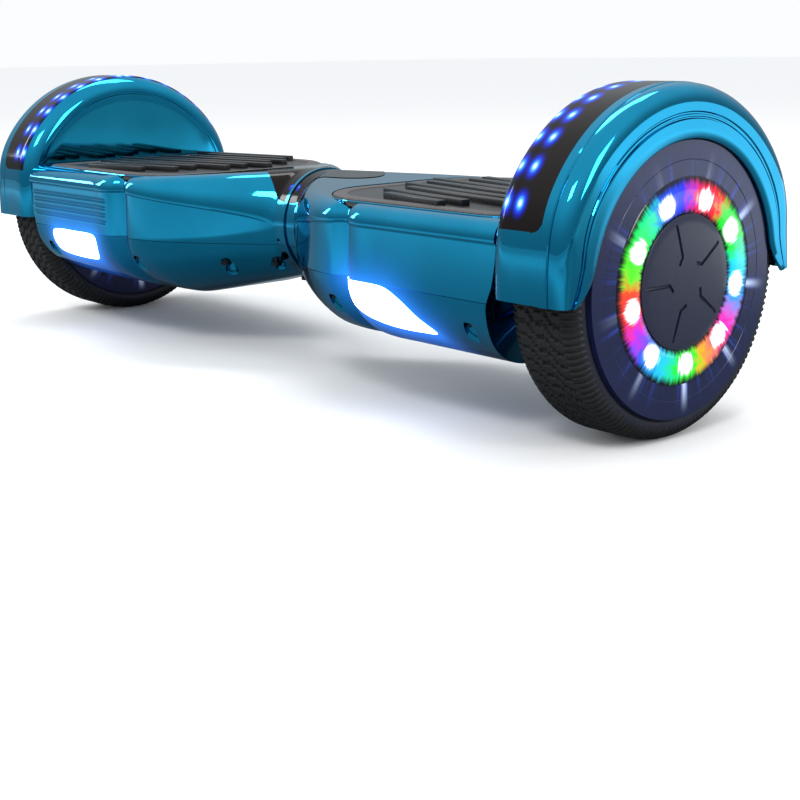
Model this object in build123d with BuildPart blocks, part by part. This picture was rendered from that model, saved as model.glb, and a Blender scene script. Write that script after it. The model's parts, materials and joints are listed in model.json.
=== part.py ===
from build123d import *
import os
from math import cos, radians, sin, sqrt

os.makedirs("parts", exist_ok=True)

# A two-wheeled self balancing board, in millimetres. X runs along the board, -Y is the front, +Z is up.
# The origin is on the ground, under the middle of the board. The right half is modelled and mirrored.

# Overall sizes
board_length = 584.0
board_width = 186.0
board_height = 181.0
wheel_radius = 82.5
deck_height = 117.0
belly_height = 36.0

# Shells
wall = 2.5
shell_gap = 0.4
fender_width = 51.0
fender_bottom = 80.0
fender_inner_shoulder = 12.0
fender_outer_shoulder = 9.0
fender_corner = 30.0
parting_height = 76.0
panel_setback = 5.0
lip_radius = 10.0
lower_round = 55.0
arch_radius = 71.5
arch_foot = 84.0
arch_flare = 15.0

# Neck and centre pivot
neck_radius = 34.5
pivot_height = 88.3
neck_length = 12.0
belly_end = 113.0
belly_steps = 8
groove_width = 17.0
groove_depth = 8.0
neck_ring_width = 2.0
neck_ring_proud = 1.2
tube_radius = 14.0
tube_wall = 2.5
tube_length = 116.0
bush_wall = 2.0
bush_length = 14.0
running_clearance = 0.05

# Wheel and motor
tyre_width = 43.0
tyre_gap = 1.5
face_recess = 1.0
tyre_seat_radius = 62.0
rim_radius = 70.5
rim_wall = 4.0
tyre_shoulder = 9.0
tread_blocks = 72
bearing_bore_radius = 7.5
bearing_outer_radius = 16.0
bearing_width = 9.0
axle_radius = 10.0
magnet_thickness = 3.0
air_gap = 1.0
stator_width = 14.0
stator_slots = 27
magnet_count = 30
winding_overhang = 5.0
magnet_width = 22.0
led_ring_inner = 31.0
led_ring_outer = 53.0
led_board_thickness = 1.6
led_cover_thickness = 2.2

# Deck and foot pad
pad_inner_end = 72.0
pad_outer_end = 235.0
pad_half_width = 77.0
pad_inner_corner = 50.0
pad_outer_corner = 12.0
pad_gap = 0.5
pad_thickness = 4.0
pad_rise = 1.0
rib_height = 2.2
rib_width = 3.0
rib_pitch = 14.0
rib_count = 10
rib_tilt = 10.0
pad_travel = 1.5
plunger_radius = 4.0

# Frame
frame_plate = 6.0
frame_half_width = 62.0
frame_inner_end = 76.0
frame_neck_end = 44.0
frame_neck_half_width = 30.0
axle_block_length = 30.0
axle_block_half_width = 24.0
clamp_thickness = 9.0

# Lamps
light_strip_width = 28.0
light_strip_inset = 7.0
light_strip_bottom = 115.0
window_length = 47.0
window_half_width = 31.0
lamp_fit = 0.25

# Fasteners
screw_radius = 1.9
screw_head_radius = 3.6
screw_head_height = 2.4
pocket_radius = 4.5
pocket_top = 64.0
bolt_radius = 3.0
bolt_head_radius = 5.0
bolt_head_height = 5.0

# Controls in the rear wall
button_radius = 8.0
button_x = 200.0
socket_x = 165.0
socket_radius = 8.0
socket_bore_radius = 6.0
control_height = 64.0
button_travel = 1.5

# Electronics
battery_length = 104.0
battery_width = 92.0
battery_height = 44.0
main_board_length = 104.0
main_board_width = 84.0
board_thickness = 1.6
speaker_radius = 20.0
speaker_depth = 15.0

# A Bezier curve's handle length that makes a quarter of a circle or an ellipse
quarter_round = 0.5523

# Worked out from the sizes above
half_length = board_length / 2
axle_height = wheel_radius
fender_out = half_length
fender_in = fender_out - fender_width
fender_radius = board_height - axle_height
panel_half_width = board_width / 2 - panel_setback
belly_full = panel_half_width - wall - 1.0
tyre_out = fender_out - wall - tyre_gap
tyre_in = tyre_out - tyre_width
wheel_face = fender_out - face_recess
rim_face = wheel_face - face_recess
hub_face = wheel_face - led_cover_thickness - led_board_thickness
hub_disc = hub_face - rim_wall
hub_inner_radius = tyre_seat_radius - rim_wall
tread_corner = wheel_radius / cos(radians(180 / tread_blocks))
cover_in = tyre_in + 0.5
hub_in = cover_in + rim_wall
outer_bearing_end = hub_face - rim_wall / 2
inner_bearing_start = hub_in - rim_wall / 4
stator_middle = (hub_in + hub_disc) / 2
magnet_inner_radius = hub_inner_radius - magnet_thickness
stator_radius = magnet_inner_radius - air_gap
pad_top = deck_height + pad_rise
pad_bottom = pad_top - pad_thickness
frame_top = pad_bottom - pad_travel - shell_gap
frame_bottom = frame_top - frame_plate
neck_start = neck_ring_width / 2 + shell_gap
groove_end = belly_end + groove_width


def cross_plane(x):
    """Plane across the board at x: local x is the board's Y and local y is Z."""
    return Plane(origin=(x, 0, 0), x_dir=(0, 1, 0), z_dir=(1, 0, 0))


def axle_plane(x):
    """Plane across the board at x, centred on the wheel's axle."""
    return Plane(origin=(x, 0, axle_height), x_dir=(0, 1, 0), z_dir=(1, 0, 0))


def pivot_plane(x):
    """Plane across the board at x, centred on the centre pivot."""
    return Plane(origin=(x, 0, pivot_height), x_dir=(0, 1, 0), z_dir=(1, 0, 0))


axle_axis = Axis((0, 0, axle_height), (1, 0, 0))


def belly_share(x):
    """0 on the neck, 1 where the belly reaches its full size."""
    return min(1.0, max(0.0, (x - neck_length) / (belly_end - neck_length)))


def belly_half_width(x):
    """Half-width of the belly in plan: round neck, then a quarter of a sine wave out to the panel."""
    return neck_radius + (belly_full - neck_radius) * sin(radians(90 * belly_share(x)))


def belly_section(x):
    """Half-width, top, bottom, shoulder radius, height and length of the lower round at x."""
    share = belly_share(x)
    ease = share ** 0.6
    half_width = belly_half_width(x)
    top = pivot_height + neck_radius + (deck_height - pivot_height - neck_radius) * share
    bottom = pivot_height - neck_radius + (belly_height - pivot_height + neck_radius) * min(1.0, 1.25 * share)
    shoulder = (neck_radius - 1.0) + (lip_radius - neck_radius + 1.0) * ease
    low_height = pivot_height + (parting_height - pivot_height) * ease
    low_run = min(half_width - 1.0, (neck_radius - 1.0) + (lower_round - neck_radius + 1.0) * ease)
    return half_width, top, bottom, shoulder, low_height, low_run


def panel_section(inset_width):
    """The same values where the body has its full section."""
    return (panel_half_width - inset_width, deck_height, belly_height,
            lip_radius, parting_height, lower_round)


def draw_section(values, inset):
    """One closed cross-section, drawn inset from the outside by a wall."""
    half_width, top, bottom, shoulder, low_height, low_run = values
    side = half_width - inset
    high = top - inset
    low = bottom + inset
    round_top = min(max(shoulder - inset, 1.0), side - 1.0)
    run = min(low_run - inset, side - 1.0)
    for way in (1, -1):
        corner = (way * (side - round_top), high - round_top)
        middle = (corner[0] + way * round_top * sin(radians(45)), corner[1] + round_top * sin(radians(45)))
        Line((0, high), (way * (side - round_top), high))
        ThreePointArc((way * (side - round_top), high), middle, (way * side, high - round_top))
        Line((way * side, high - round_top), (way * side, low_height))
        Bezier((way * side, low_height),
               (way * side, low_height - quarter_round * (low_height - low)),
               (way * (side - run + quarter_round * run), low),
               (way * (side - run), low))
        Line((way * (side - run), low), (0, low))


def section_face(x, values, inset):
    with BuildSketch(cross_plane(x)) as face:
        with BuildLine():
            draw_section(values, inset)
        make_face()
    return face.sketch


def end_cutter(inset):
    """What is cut from the body's outer end so that its lower corner curves in beside the tyre."""
    end = fender_in - inset
    with BuildPart() as cutter:
        with BuildSketch(Plane.XZ):
            with BuildLine():
                Line((end, board_height), (end, parting_height))
                ThreePointArc((end, parting_height), (end - 5.0, (parting_height + belly_height) / 2),
                              (end - 19.0, belly_height - 1.0))
                Line((end - 19.0, belly_height - 1.0), (end - 22.0, belly_height - 20.0))
                Line((end - 22.0, belly_height - 20.0), (end + 80.0, belly_height - 20.0))
                Line((end + 80.0, belly_height - 20.0), (end + 80.0, board_height))
                Line((end + 80.0, board_height), (end, board_height))
            make_face()
        extrude(amount=board_width, both=True)
    return cutter.part


def body_solid(inset):
    """The body without the fender as one solid, inset from its outside by a wall."""
    first = neck_start - inset
    step = (belly_end - neck_length) / belly_steps
    belly_stations = [first] + [neck_length + number * step for number in range(belly_steps + 1)]
    with BuildPart() as body:
        for near, far in zip(belly_stations, belly_stations[1:]):
            loft(sections=[section_face(near, belly_section(near), inset),
                           section_face(far, belly_section(far), inset)], ruled=True)
        groove_middle = belly_end + groove_width / 2
        loft(sections=[section_face(belly_end, belly_section(belly_end), inset),
                       section_face(groove_middle, panel_section(groove_depth), inset)], ruled=True)
        loft(sections=[section_face(groove_middle, panel_section(groove_depth), inset),
                       section_face(groove_end, panel_section(0.0), inset)], ruled=True)
        extrude(section_face(groove_end, panel_section(0.0), inset),
                amount=fender_in - groove_end, dir=(1, 0, 0))
        add(end_cutter(inset), mode=Mode.SUBTRACT)
    return body.part


def fender_solid(inset, drop):
    """The fender's outside, or the room inside it when inset by a wall."""
    radius = fender_radius - inset
    half_width = board_width / 2 - inset
    rise = sqrt(radius ** 2 - half_width ** 2)
    bottom = fender_bottom - axle_height - drop
    with BuildPart() as fender:
        with BuildSketch(axle_plane(fender_in + inset)) as outline:
            with BuildLine():
                ThreePointArc((half_width, rise), (0, radius), (-half_width, rise))
                Line((-half_width, rise), (-half_width, bottom))
                Line((-half_width, bottom), (half_width, bottom))
                Line((half_width, bottom), (half_width, rise))
            make_face()
            fillet(outline.vertices().sort_by(Axis.Y)[-2:], radius=fender_corner)
        extrude(amount=fender_width - 2 * inset)
        floor = axle_height + bottom + 1.0
        inner_rim = fender.faces().sort_by(Axis.X)[0].edges()
        fillet([edge for edge in inner_rim if edge.center().Z > floor], radius=fender_inner_shoulder - inset)
        outer_rim = fender.faces().sort_by(Axis.X)[-1].edges()
        fillet([edge for edge in outer_rim if edge.center().Z > floor], radius=fender_outer_shoulder - inset)
    return fender.part


def pad_outline(grow):
    """The foot pad's outline, grown by a gap, as a sketch on the ground plane."""
    with BuildSketch() as outline:
        middle = (pad_inner_end + pad_outer_end) / 2
        with Locations((middle, 0)):
            Rectangle(pad_outer_end - pad_inner_end + 2 * grow, 2 * (pad_half_width + grow))
        fillet(outline.vertices().group_by(Axis.X)[0], radius=pad_inner_corner)
        fillet(outline.vertices().group_by(Axis.X)[-1], radius=pad_outer_corner)
    return outline.sketch


def leaf_outline(grow):
    """The right headlight, a slanted leaf, in X and Z."""
    inner = (belly_end + 6.0 - grow, parting_height - 1.0 + grow)
    tip = (belly_end + 78.0 + grow, parting_height - 22.0 - grow)
    with BuildSketch(Plane.XZ) as outline:
        with BuildLine():
            ThreePointArc(inner, (belly_end + 54.0, parting_height - 1.0 + grow), tip)
            ThreePointArc(tip, (belly_end + 25.0 - grow, parting_height - 21.0 - grow), inner)
        make_face()
    return outline.sketch


def block_outline(grow):
    """The left headlight, a rounded rectangle, in X and Z, drawn on the right for mirroring."""
    with BuildSketch(Plane.XZ) as outline:
        with Locations((belly_end + 60.0, parting_height - 11.0)):
            RectangleRounded(72.0 + 2 * grow, 19.0 + 2 * grow, 6.0)
    return outline.sketch


def window_prism(grow):
    """Everything above the half-ellipse in plan that the indicator window covers."""
    with BuildPart() as prism:
        with BuildSketch(Plane.XY.offset(pivot_height)):
            Ellipse(window_length + grow, window_half_width + grow)
        extrude(amount=2 * neck_radius)
    return prism.part


def light_strip_box(grow):
    """The part of the fender's crest that the light strip covers."""
    start = fender_in + light_strip_inset - grow
    bottom = light_strip_bottom - grow
    with BuildPart() as box:
        with BuildSketch(Plane.XY.offset(bottom)):
            with Locations((start + light_strip_width / 2 + grow, 0)):
                Rectangle(light_strip_width + 2 * grow, board_width + 10.0)
        extrude(amount=board_height)
    return box.part


def screw_places():
    """Where the shell screws stand: x and distance from the middle, the same front and back."""
    edge = 8.0
    near_wheel = (fender_in - 20.0, panel_half_width - edge)
    near_groove = (belly_end - 6.0, belly_half_width(belly_end - 6.0) - edge)
    on_belly = (neck_length + 32.0, belly_half_width(neck_length + 32.0) - edge)
    near_neck = (neck_length + 5.0, belly_half_width(neck_length + 5.0) - edge - 1.5)
    right_side = [near_wheel, near_groove, on_belly, near_neck]
    return [(x, way * y) for x, y in right_side for way in (1, -1)]


def standing_rods(radius, low, high):
    """One upright rod at every shell screw."""
    with BuildPart() as rods:
        with BuildSketch(Plane.XY.offset(low)):
            with Locations(*screw_places()):
                Circle(radius)
        extrude(amount=high - low)
    return rods.part


def upright_box(x_low, x_high, half_width, z_low, z_high):
    """A plain block centred on the board's middle plane."""
    with BuildPart() as box:
        with BuildSketch(Plane.XY.offset(z_low)):
            with Locations(((x_low + x_high) / 2, 0)):
                Rectangle(x_high - x_low, 2 * half_width)
        extrude(amount=z_high - z_low)
    return box.part


def ring_along_x(x_low, x_high, inner, outer, plane_at=axle_plane):
    """A ring about the axle or the pivot."""
    with BuildPart() as ring:
        with BuildSketch(plane_at(x_low)):
            Circle(outer)
            if inner > 0:
                Circle(inner, mode=Mode.SUBTRACT)
        extrude(amount=x_high - x_low)
    return ring.part


def spun(points):
    """A solid turned about the axle from x, radius points."""
    with BuildPart() as turned:
        with BuildSketch(Plane.XZ):
            with BuildLine():
                Polyline(*[(x, axle_height + r) for x, r in points], close=True)
            make_face()
        revolve(axis=axle_axis)
    return turned.part


def export_piece(piece, name):
    piece.part.label = name
    export_step(piece.part, f"parts/{name}.step")


def export_pair(piece, name):
    """Write a right-hand piece and its mirror image on the left half."""
    export_piece(piece, "right_" + name)
    with BuildPart() as other:
        add(mirror(piece.part, about=Plane.YZ))
    export_piece(other, "left_" + name)


# The body and the fender, before they are divided into shells
outer_body = body_solid(0.0)
inner_body = body_solid(wall)
outer_fender = fender_solid(0.0, 0.0)
fender_room = fender_solid(wall, 10.0)
above = upright_box(-10.0, board_length, board_width, parting_height, 2 * board_height)
below = upright_box(-10.0, board_length, board_width, -board_height, parting_height)

# Upper shell: deck, shoulders, neck roof and fender in one moulding
with BuildPart() as upper_shell:
    add(outer_body)
    add(above, mode=Mode.INTERSECT)
    add(inner_body, mode=Mode.SUBTRACT)
    posts = standing_rods(screw_radius + 2.4, parting_height, deck_height + neck_radius)
    add(posts.intersect(outer_body))
    add(outer_fender)
    add(fender_room, mode=Mode.SUBTRACT)
    # Arched opening for the wheel in the fender's outer wall
    with BuildSketch(axle_plane(fender_out + 1.0)):
        with BuildLine():
            side_y = arch_radius * cos(radians(arch_flare))
            side_z = arch_radius * sin(radians(arch_flare))
            foot_z = fender_bottom - axle_height - 1.0
            ThreePointArc((side_y, side_z), (0, arch_radius), (-side_y, side_z))
            for way in (1, -1):
                Bezier((way * side_y, side_z), (way * (side_y + 2.5), side_z / 2),
                       (way * (arch_foot - 8.0), foot_z + 3.0), (way * arch_foot, foot_z))
            Line((-arch_foot, foot_z), (arch_foot, foot_z))
        make_face()
    extrude(amount=-(wall + 2.0), mode=Mode.SUBTRACT)
    # Notch that drops over the axle
    with BuildSketch(axle_plane(fender_in - wall - 1.0)):
        Circle(axle_radius + 2.0)
        with Locations((0, -axle_height / 2)):
            Rectangle(2 * (axle_radius + 2.0), axle_height)
    extrude(amount=2 * wall + 2.0, mode=Mode.SUBTRACT)
    add(extrude(pad_outline(pad_gap), amount=board_height, mode=Mode.PRIVATE).moved(Pos(0, 0, pad_bottom - 6.0)),
        mode=Mode.SUBTRACT)
    add(window_prism(lamp_fit), mode=Mode.SUBTRACT)
    add(light_strip_box(lamp_fit), mode=Mode.SUBTRACT)
    add(standing_rods(screw_radius, parting_height - 1.0, parting_height + 14.0), mode=Mode.SUBTRACT)
export_pair(upper_shell, "upper_shell")

# The belly pan's plain wall
with BuildPart() as lower_wall:
    add(outer_body)
    add(below, mode=Mode.INTERSECT)
    add(inner_body, mode=Mode.SUBTRACT)

# Lower shell blank: the belly pan with a pocket and a boss for every shell screw
with BuildPart() as lower_blank:
    add(lower_wall.part)
    bosses = standing_rods(pocket_radius + wall, 0.0, parting_height)
    add(bosses.intersect(outer_body))
    add(standing_rods(pocket_radius, 0.0, pocket_top), mode=Mode.SUBTRACT)
    add(standing_rods(screw_radius + 0.2, pocket_top, parting_height), mode=Mode.SUBTRACT)
    # Notch under the axle
    add(ring_along_x(fender_in - wall - 10.0, fender_in + 1.0, 0.0, axle_radius + 2.0), mode=Mode.SUBTRACT)

# Headlight lenses: the front wall inside each outline, with a fitting gap all round



def front_prism(outline):
    """An outline in X and Z carried through the front wall only."""
    with BuildPart() as prism:
        extrude(outline, amount=board_width, dir=(0, -1, 0))
    return prism.part


with BuildPart() as leaf_lens:
    add(lower_wall.part)
    add(front_prism(leaf_outline(0.0)), mode=Mode.INTERSECT)

with BuildPart() as block_lens:
    add(lower_wall.part)
    add(front_prism(block_outline(0.0)), mode=Mode.INTERSECT)
export_piece(leaf_lens, "right_headlight_lens")

with BuildPart() as left_headlight_lens:
    add(mirror(block_lens.part, about=Plane.YZ))
export_piece(left_headlight_lens, "left_headlight_lens")


def rear_rod(x, z, radius, y_low, y_high):
    """A rod that points out of the rear wall."""
    with BuildPart() as rod:
        with BuildSketch(Plane(origin=(x, y_low, z), x_dir=(1, 0, 0), z_dir=(0, 1, 0))):
            Circle(radius)
        extrude(amount=y_high - y_low)
    return rod.part


# Right lower shell: leaf headlight in front, power button and charging socket behind
control_face = panel_half_width + 0.3
control_back = panel_half_width - 14.0
with BuildPart() as right_lower_shell:
    add(lower_blank.part)
    add(front_prism(leaf_outline(lamp_fit)), mode=Mode.SUBTRACT)
    add(rear_rod(button_x, control_height, button_radius + wall, control_back, control_face))
    add(rear_rod(socket_x, control_height, socket_radius + wall, control_back, control_face))
    add(rear_rod(button_x, control_height, button_radius + running_clearance, 0.0, board_width),
        mode=Mode.SUBTRACT)
    add(rear_rod(socket_x, control_height, socket_radius, 0.0, board_width), mode=Mode.SUBTRACT)
export_piece(right_lower_shell, "right_lower_shell")

# Left lower shell: block headlight in front, speaker grille and circuit board posts below
board_middle = (fender_in + belly_end) / 2 - 24.0
board_height_z = belly_height + wall + speaker_depth + 8.0
with BuildPart() as left_lower_right_handed:
    add(lower_blank.part)
    add(front_prism(block_outline(lamp_fit)), mode=Mode.SUBTRACT)
    with BuildSketch(Plane.XY.offset(belly_height + wall)):
        with Locations((board_middle, 0)):
            with GridLocations(main_board_length - 8.0, main_board_width - 34.0, 2, 2):
                Circle(3.0)
    extrude(amount=board_height_z - belly_height - wall)
    with BuildSketch(Plane.XY.offset(belly_height - 1.0)):
        with Locations((board_middle, 0)):
            with GridLocations(6.0, 6.0, 5, 5):
                Circle(1.3)
    extrude(amount=wall + 2.0, mode=Mode.SUBTRACT)

with BuildPart() as left_lower_shell:
    add(mirror(left_lower_right_handed.part, about=Plane.YZ))
export_piece(left_lower_shell, "left_lower_shell")

# Shell screws, one group on each half: a head in the pocket and a shank up into the post
with BuildPart() as shell_screws:
    add(standing_rods(screw_radius, pocket_top, parting_height + 12.0))
    add(standing_rods(screw_head_radius, pocket_top - screw_head_height, pocket_top))
export_pair(shell_screws, "shell_screws")

# Indicator window: the neck's roof under the half-ellipse
with BuildPart() as indicator_window:
    add(outer_body)
    add(window_prism(0.0), mode=Mode.INTERSECT)
    add(inner_body, mode=Mode.SUBTRACT)
export_pair(indicator_window, "indicator_window")

# Light strip cover on the fender's crest
with BuildPart() as fender_light_cover:
    add(outer_fender)
    add(fender_room, mode=Mode.SUBTRACT)
    add(light_strip_box(0.0), mode=Mode.INTERSECT)
export_pair(fender_light_cover, "fender_light_cover")

# Lamp boards: the curved strip board under the crest, the headlight's board and the indicator's board
strip_board_outer = fender_radius - wall - 0.1
with BuildPart() as lamp_boards:
    strip_start = fender_in + fender_inner_shoulder + 1.0
    add(ring_along_x(strip_start, strip_start + 18.0, strip_board_outer - board_thickness, strip_board_outer))
    add(upright_box(0.0, board_length, board_width, light_strip_bottom + 12.0, 2 * board_height),
        mode=Mode.INTERSECT)
    with BuildSketch(Plane.XZ.offset(panel_half_width - 24.0)):
        with Locations((belly_end + 54.0, parting_height - 12.0)):
            Rectangle(56.0, 14.0)
    extrude(amount=board_thickness)
    with BuildSketch(Plane.XY.offset(pivot_height + neck_radius - wall - 3.5)):
        with Locations((neck_length + 2.0, 0)):
            Rectangle(16.0, 12.0)
    extrude(amount=1.2)
export_pair(lamp_boards, "lamp_boards")

# Foot pad: a rubber mat with slanted ribs and two plungers that reach the sensors
plunger_places = [(pad_outer_end - 85.0, way * (pad_half_width - 47.0)) for way in (1, -1)]
plunger_bottom = frame_bottom - 2.0
with BuildPart() as foot_pad:
    add(extrude(pad_outline(0.0), amount=pad_thickness, mode=Mode.PRIVATE).moved(Pos(0, 0, pad_bottom)))
    with BuildSketch(Plane.XY.offset(plunger_bottom)):
        with Locations(*plunger_places):
            Circle(plunger_radius)
    extrude(amount=pad_bottom - plunger_bottom)
    rib_field = extrude(offset(pad_outline(0.0), amount=-6.0, mode=Mode.PRIVATE),
                        amount=rib_height, mode=Mode.PRIVATE).moved(Pos(0, 0, pad_top))
    with BuildPart(mode=Mode.PRIVATE) as ribs:
        with BuildSketch(Plane.XY.offset(pad_top)):
            for number in range(rib_count):
                y = (number - (rib_count - 1) / 2) * rib_pitch
                stagger = 10.0 * (number % 2)
                with Locations(Location((pad_outer_end - 72.0 - stagger, y, 0), (0, 0, -rib_tilt))):
                    Rectangle(140.0 - 1.2 * abs(y), rib_width)
        extrude(amount=rib_height)
    add(ribs.part.intersect(rib_field))
export_pair(foot_pad, "foot_pad")

# Frame: cast aluminium platform with an axle block at the wheel and a pivot boss at the centre
boss_radius = tube_radius + bush_wall + 6.0
boss_start = neck_start + 6.0
boss_end = tube_length / 2 + 6.0
block_out = fender_in - wall - 3.5
block_in = block_out - axle_block_length
bolt_places = [(block_in + 7.0 + 16.0 * number, way * (axle_radius + 7.0)) for number in range(2) for way in (1, -1)]
standoff_places = [(x, way * 22.0) for x in (pad_outer_end - 113.0, pad_outer_end - 57.0) for way in (1, -1)]
sensor_board_top = frame_bottom - 9.0
limit_pin_radius = 2.5
twist_limit = 12.0
pin_x = (boss_start + boss_end) / 2


def frame_part(bore):
    """The frame of one half, drawn on the right, with the pivot boss bored to suit."""
    with BuildPart() as frame:
        add(upright_box(frame_inner_end, block_out, frame_half_width, frame_bottom, frame_top))
        fillet(frame.edges().filter_by(Axis.Z), radius=8.0)
        add(upright_box(frame_neck_end, frame_inner_end + 10.0, frame_neck_half_width, frame_bottom, frame_top))
        add(ring_along_x(boss_start, boss_end, 0.0, boss_radius, pivot_plane))
        # Gussets from the boss to the platform, and the axle block under the platform's outer end
        for way in (1, -1):
            with BuildSketch(Plane.XY.offset(pivot_height)):
                with Locations((boss_end + 8.0, way * boss_radius)):
                    Rectangle(44.0, 5.0)
            extrude(amount=frame_bottom + 1.0 - pivot_height)
        add(upright_box(block_in, block_out, axle_block_half_width, axle_height, frame_bottom + 1.0))
        # Stiffening rails under the platform's edges
        for way in (1, -1):
            with BuildSketch(Plane.XY.offset(frame_bottom - 6.0)):
                with Locations(((frame_inner_end + block_out) / 2, way * (frame_half_width - 3.0))):
                    Rectangle(block_out - frame_inner_end - 20.0, 5.0)
            extrude(amount=7.0)
        with BuildSketch(Plane.XY.offset(sensor_board_top)):
            with Locations(*standoff_places):
                Circle(3.0)
        extrude(amount=frame_bottom - sensor_board_top)
        # Bores: pivot, axle seat, plungers, clamp bolts and the limit pin's slot
        add(ring_along_x(boss_start - 1.0, boss_end + 1.0, 0.0, bore, pivot_plane), mode=Mode.SUBTRACT)
        add(ring_along_x(block_in - 1.0, block_out + 1.0, 0.0, axle_radius), mode=Mode.SUBTRACT)
        with BuildSketch(Plane.XY.offset(frame_bottom - 1.0)):
            with Locations(*plunger_places):
                Circle(plunger_radius + 0.5)
        extrude(amount=frame_plate + 2.0, mode=Mode.SUBTRACT)
        with BuildSketch(Plane.XY.offset(axle_height - 1.0)):
            with Locations(*bolt_places):
                Circle(bolt_radius)
        extrude(amount=19.0, mode=Mode.SUBTRACT)
    return frame.part


with BuildPart() as right_frame:
    add(frame_part(tube_radius + bush_wall))
    with BuildSketch(Plane.XY.offset(pivot_height)):
        with Locations((pin_x, 0)):
            slot_half = boss_radius * sin(radians(twist_limit)) + limit_pin_radius + 0.6
            Rectangle(2 * limit_pin_radius + 1.0, 2 * slot_half)
    extrude(amount=boss_radius + 1.0, mode=Mode.SUBTRACT)
export_piece(right_frame, "right_frame")

with BuildPart() as left_frame:
    add(mirror(frame_part(tube_radius), about=Plane.YZ))
export_piece(left_frame, "left_frame")

# Centre pivot: a steel tube clamped in the left boss, turning in two bushes in the right boss
tube_start = -boss_end
tube_end = boss_end + 4.0
ring_groove = 1.2
retainer_start = boss_end + shell_gap
with BuildPart() as pivot_tube:
    add(ring_along_x(tube_start, tube_end, tube_radius - tube_wall, tube_radius, pivot_plane))
    add(ring_along_x(retainer_start, retainer_start + 1.5, tube_radius - ring_groove, tube_radius + 1.0,
                     pivot_plane), mode=Mode.SUBTRACT)
    with BuildSketch(Plane.XY.offset(pivot_height)):
        with Locations((pin_x, 0)):
            Circle(limit_pin_radius)
    extrude(amount=tube_radius + 1.0, mode=Mode.SUBTRACT)
export_piece(pivot_tube, "pivot_tube")

with BuildPart() as pivot_bushes:
    bush_inner = tube_radius + running_clearance
    bush_outer = tube_radius + bush_wall
    add(ring_along_x(boss_start, boss_start + bush_length, bush_inner, bush_outer, pivot_plane))
    add(ring_along_x(boss_end - bush_length, boss_end, bush_inner, bush_outer, pivot_plane))
export_piece(pivot_bushes, "pivot_bushes")

with BuildPart() as pivot_retainer:
    add(ring_along_x(retainer_start, retainer_start + 1.5, tube_radius - ring_groove, tube_radius + 3.0,
                     pivot_plane))
    with BuildSketch(pivot_plane(retainer_start)):
        with Locations((0, -tube_radius - 2.0)):
            Rectangle(9.0, 12.0)
    extrude(amount=1.5, mode=Mode.SUBTRACT)
export_piece(pivot_retainer, "pivot_retainer")

with BuildPart() as limit_pin:
    with BuildSketch(Plane.XY.offset(pivot_height + tube_radius - tube_wall)):
        with Locations((pin_x, 0)):
            Circle(limit_pin_radius)
    extrude(amount=boss_radius - tube_radius + tube_wall - 1.0)
export_piece(limit_pin, "limit_pin")

with BuildPart() as neck_ring:
    add(ring_along_x(-neck_start, neck_ring_width / 2, neck_radius - wall,
                     neck_radius + neck_ring_proud, pivot_plane))
export_piece(neck_ring, "neck_ring")

# Axle: fixed in the block, with flats where it is clamped, a stator seat and two bearing seats
axle_end = outer_bearing_end
stator_seat = axle_radius + 2.0
with BuildPart() as axle:
    add(spun([(block_in, 0), (block_in, axle_radius), (inner_bearing_start - 0.8, axle_radius),
              (inner_bearing_start - 0.8, bearing_bore_radius),
              (inner_bearing_start + bearing_width, bearing_bore_radius),
              (inner_bearing_start + bearing_width, stator_seat),
              (outer_bearing_end - bearing_width, stator_seat),
              (outer_bearing_end - bearing_width, bearing_bore_radius),
              (axle_end, bearing_bore_radius), (axle_end, 0)]))
    # Cable bore from the inner end
    add(ring_along_x(block_in - 1.0, inner_bearing_start + bearing_width + 8.0, 0.0, 4.0), mode=Mode.SUBTRACT)
export_pair(axle, "axle")

with BuildPart() as axle_clamp:
    clamp_low = axle_height - axle_radius - clamp_thickness + 4.0
    add(upright_box(block_in, block_out, axle_block_half_width, clamp_low, axle_height - 0.3))
    fillet(axle_clamp.edges().filter_by(Axis.X).group_by(Axis.Z)[0], radius=5.0)
    add(ring_along_x(block_in - 1.0, block_out + 1.0, 0.0, axle_radius), mode=Mode.SUBTRACT)
    with BuildSketch(Plane.XY.offset(clamp_low - 1.0)):
        with Locations(*bolt_places):
            Circle(bolt_radius + 0.2)
    extrude(amount=axle_radius + clamp_thickness, mode=Mode.SUBTRACT)
export_pair(axle_clamp, "axle_clamp")

with BuildPart() as clamp_bolts:
    with BuildSketch(Plane.XY.offset(clamp_low - bolt_head_height)):
        with Locations(*bolt_places):
            Circle(bolt_head_radius)
    extrude(amount=bolt_head_height)
    with BuildSketch(Plane.XY.offset(clamp_low)):
        with Locations(*bolt_places):
            Circle(bolt_radius)
    extrude(amount=axle_height + 16.0 - clamp_low)
export_pair(clamp_bolts, "clamp_bolts")

# Tyre: solid rubber with rounded shoulders, seated between the rim's flange and the inner cover
with BuildPart() as tyre:
    add(ring_along_x(tyre_in, tyre_out, rim_radius, tread_corner))
    rims = tyre.edges().filter_by(GeomType.CIRCLE)
    fillet([edge for edge in rims if edge.radius > wheel_radius - 0.1], radius=tyre_shoulder)
    # The tread is a ring of blocks with flat faces, one of them on the ground
    with BuildSketch(axle_plane(tyre_in)):
        RegularPolygon(wheel_radius, tread_blocks, major_radius=False, rotation=180 / tread_blocks)
    extrude(amount=tyre_width, mode=Mode.INTERSECT)
    add(ring_along_x(hub_in, hub_disc, tyre_seat_radius, rim_radius + 1.0))
export_pair(tyre, "tyre")

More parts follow.
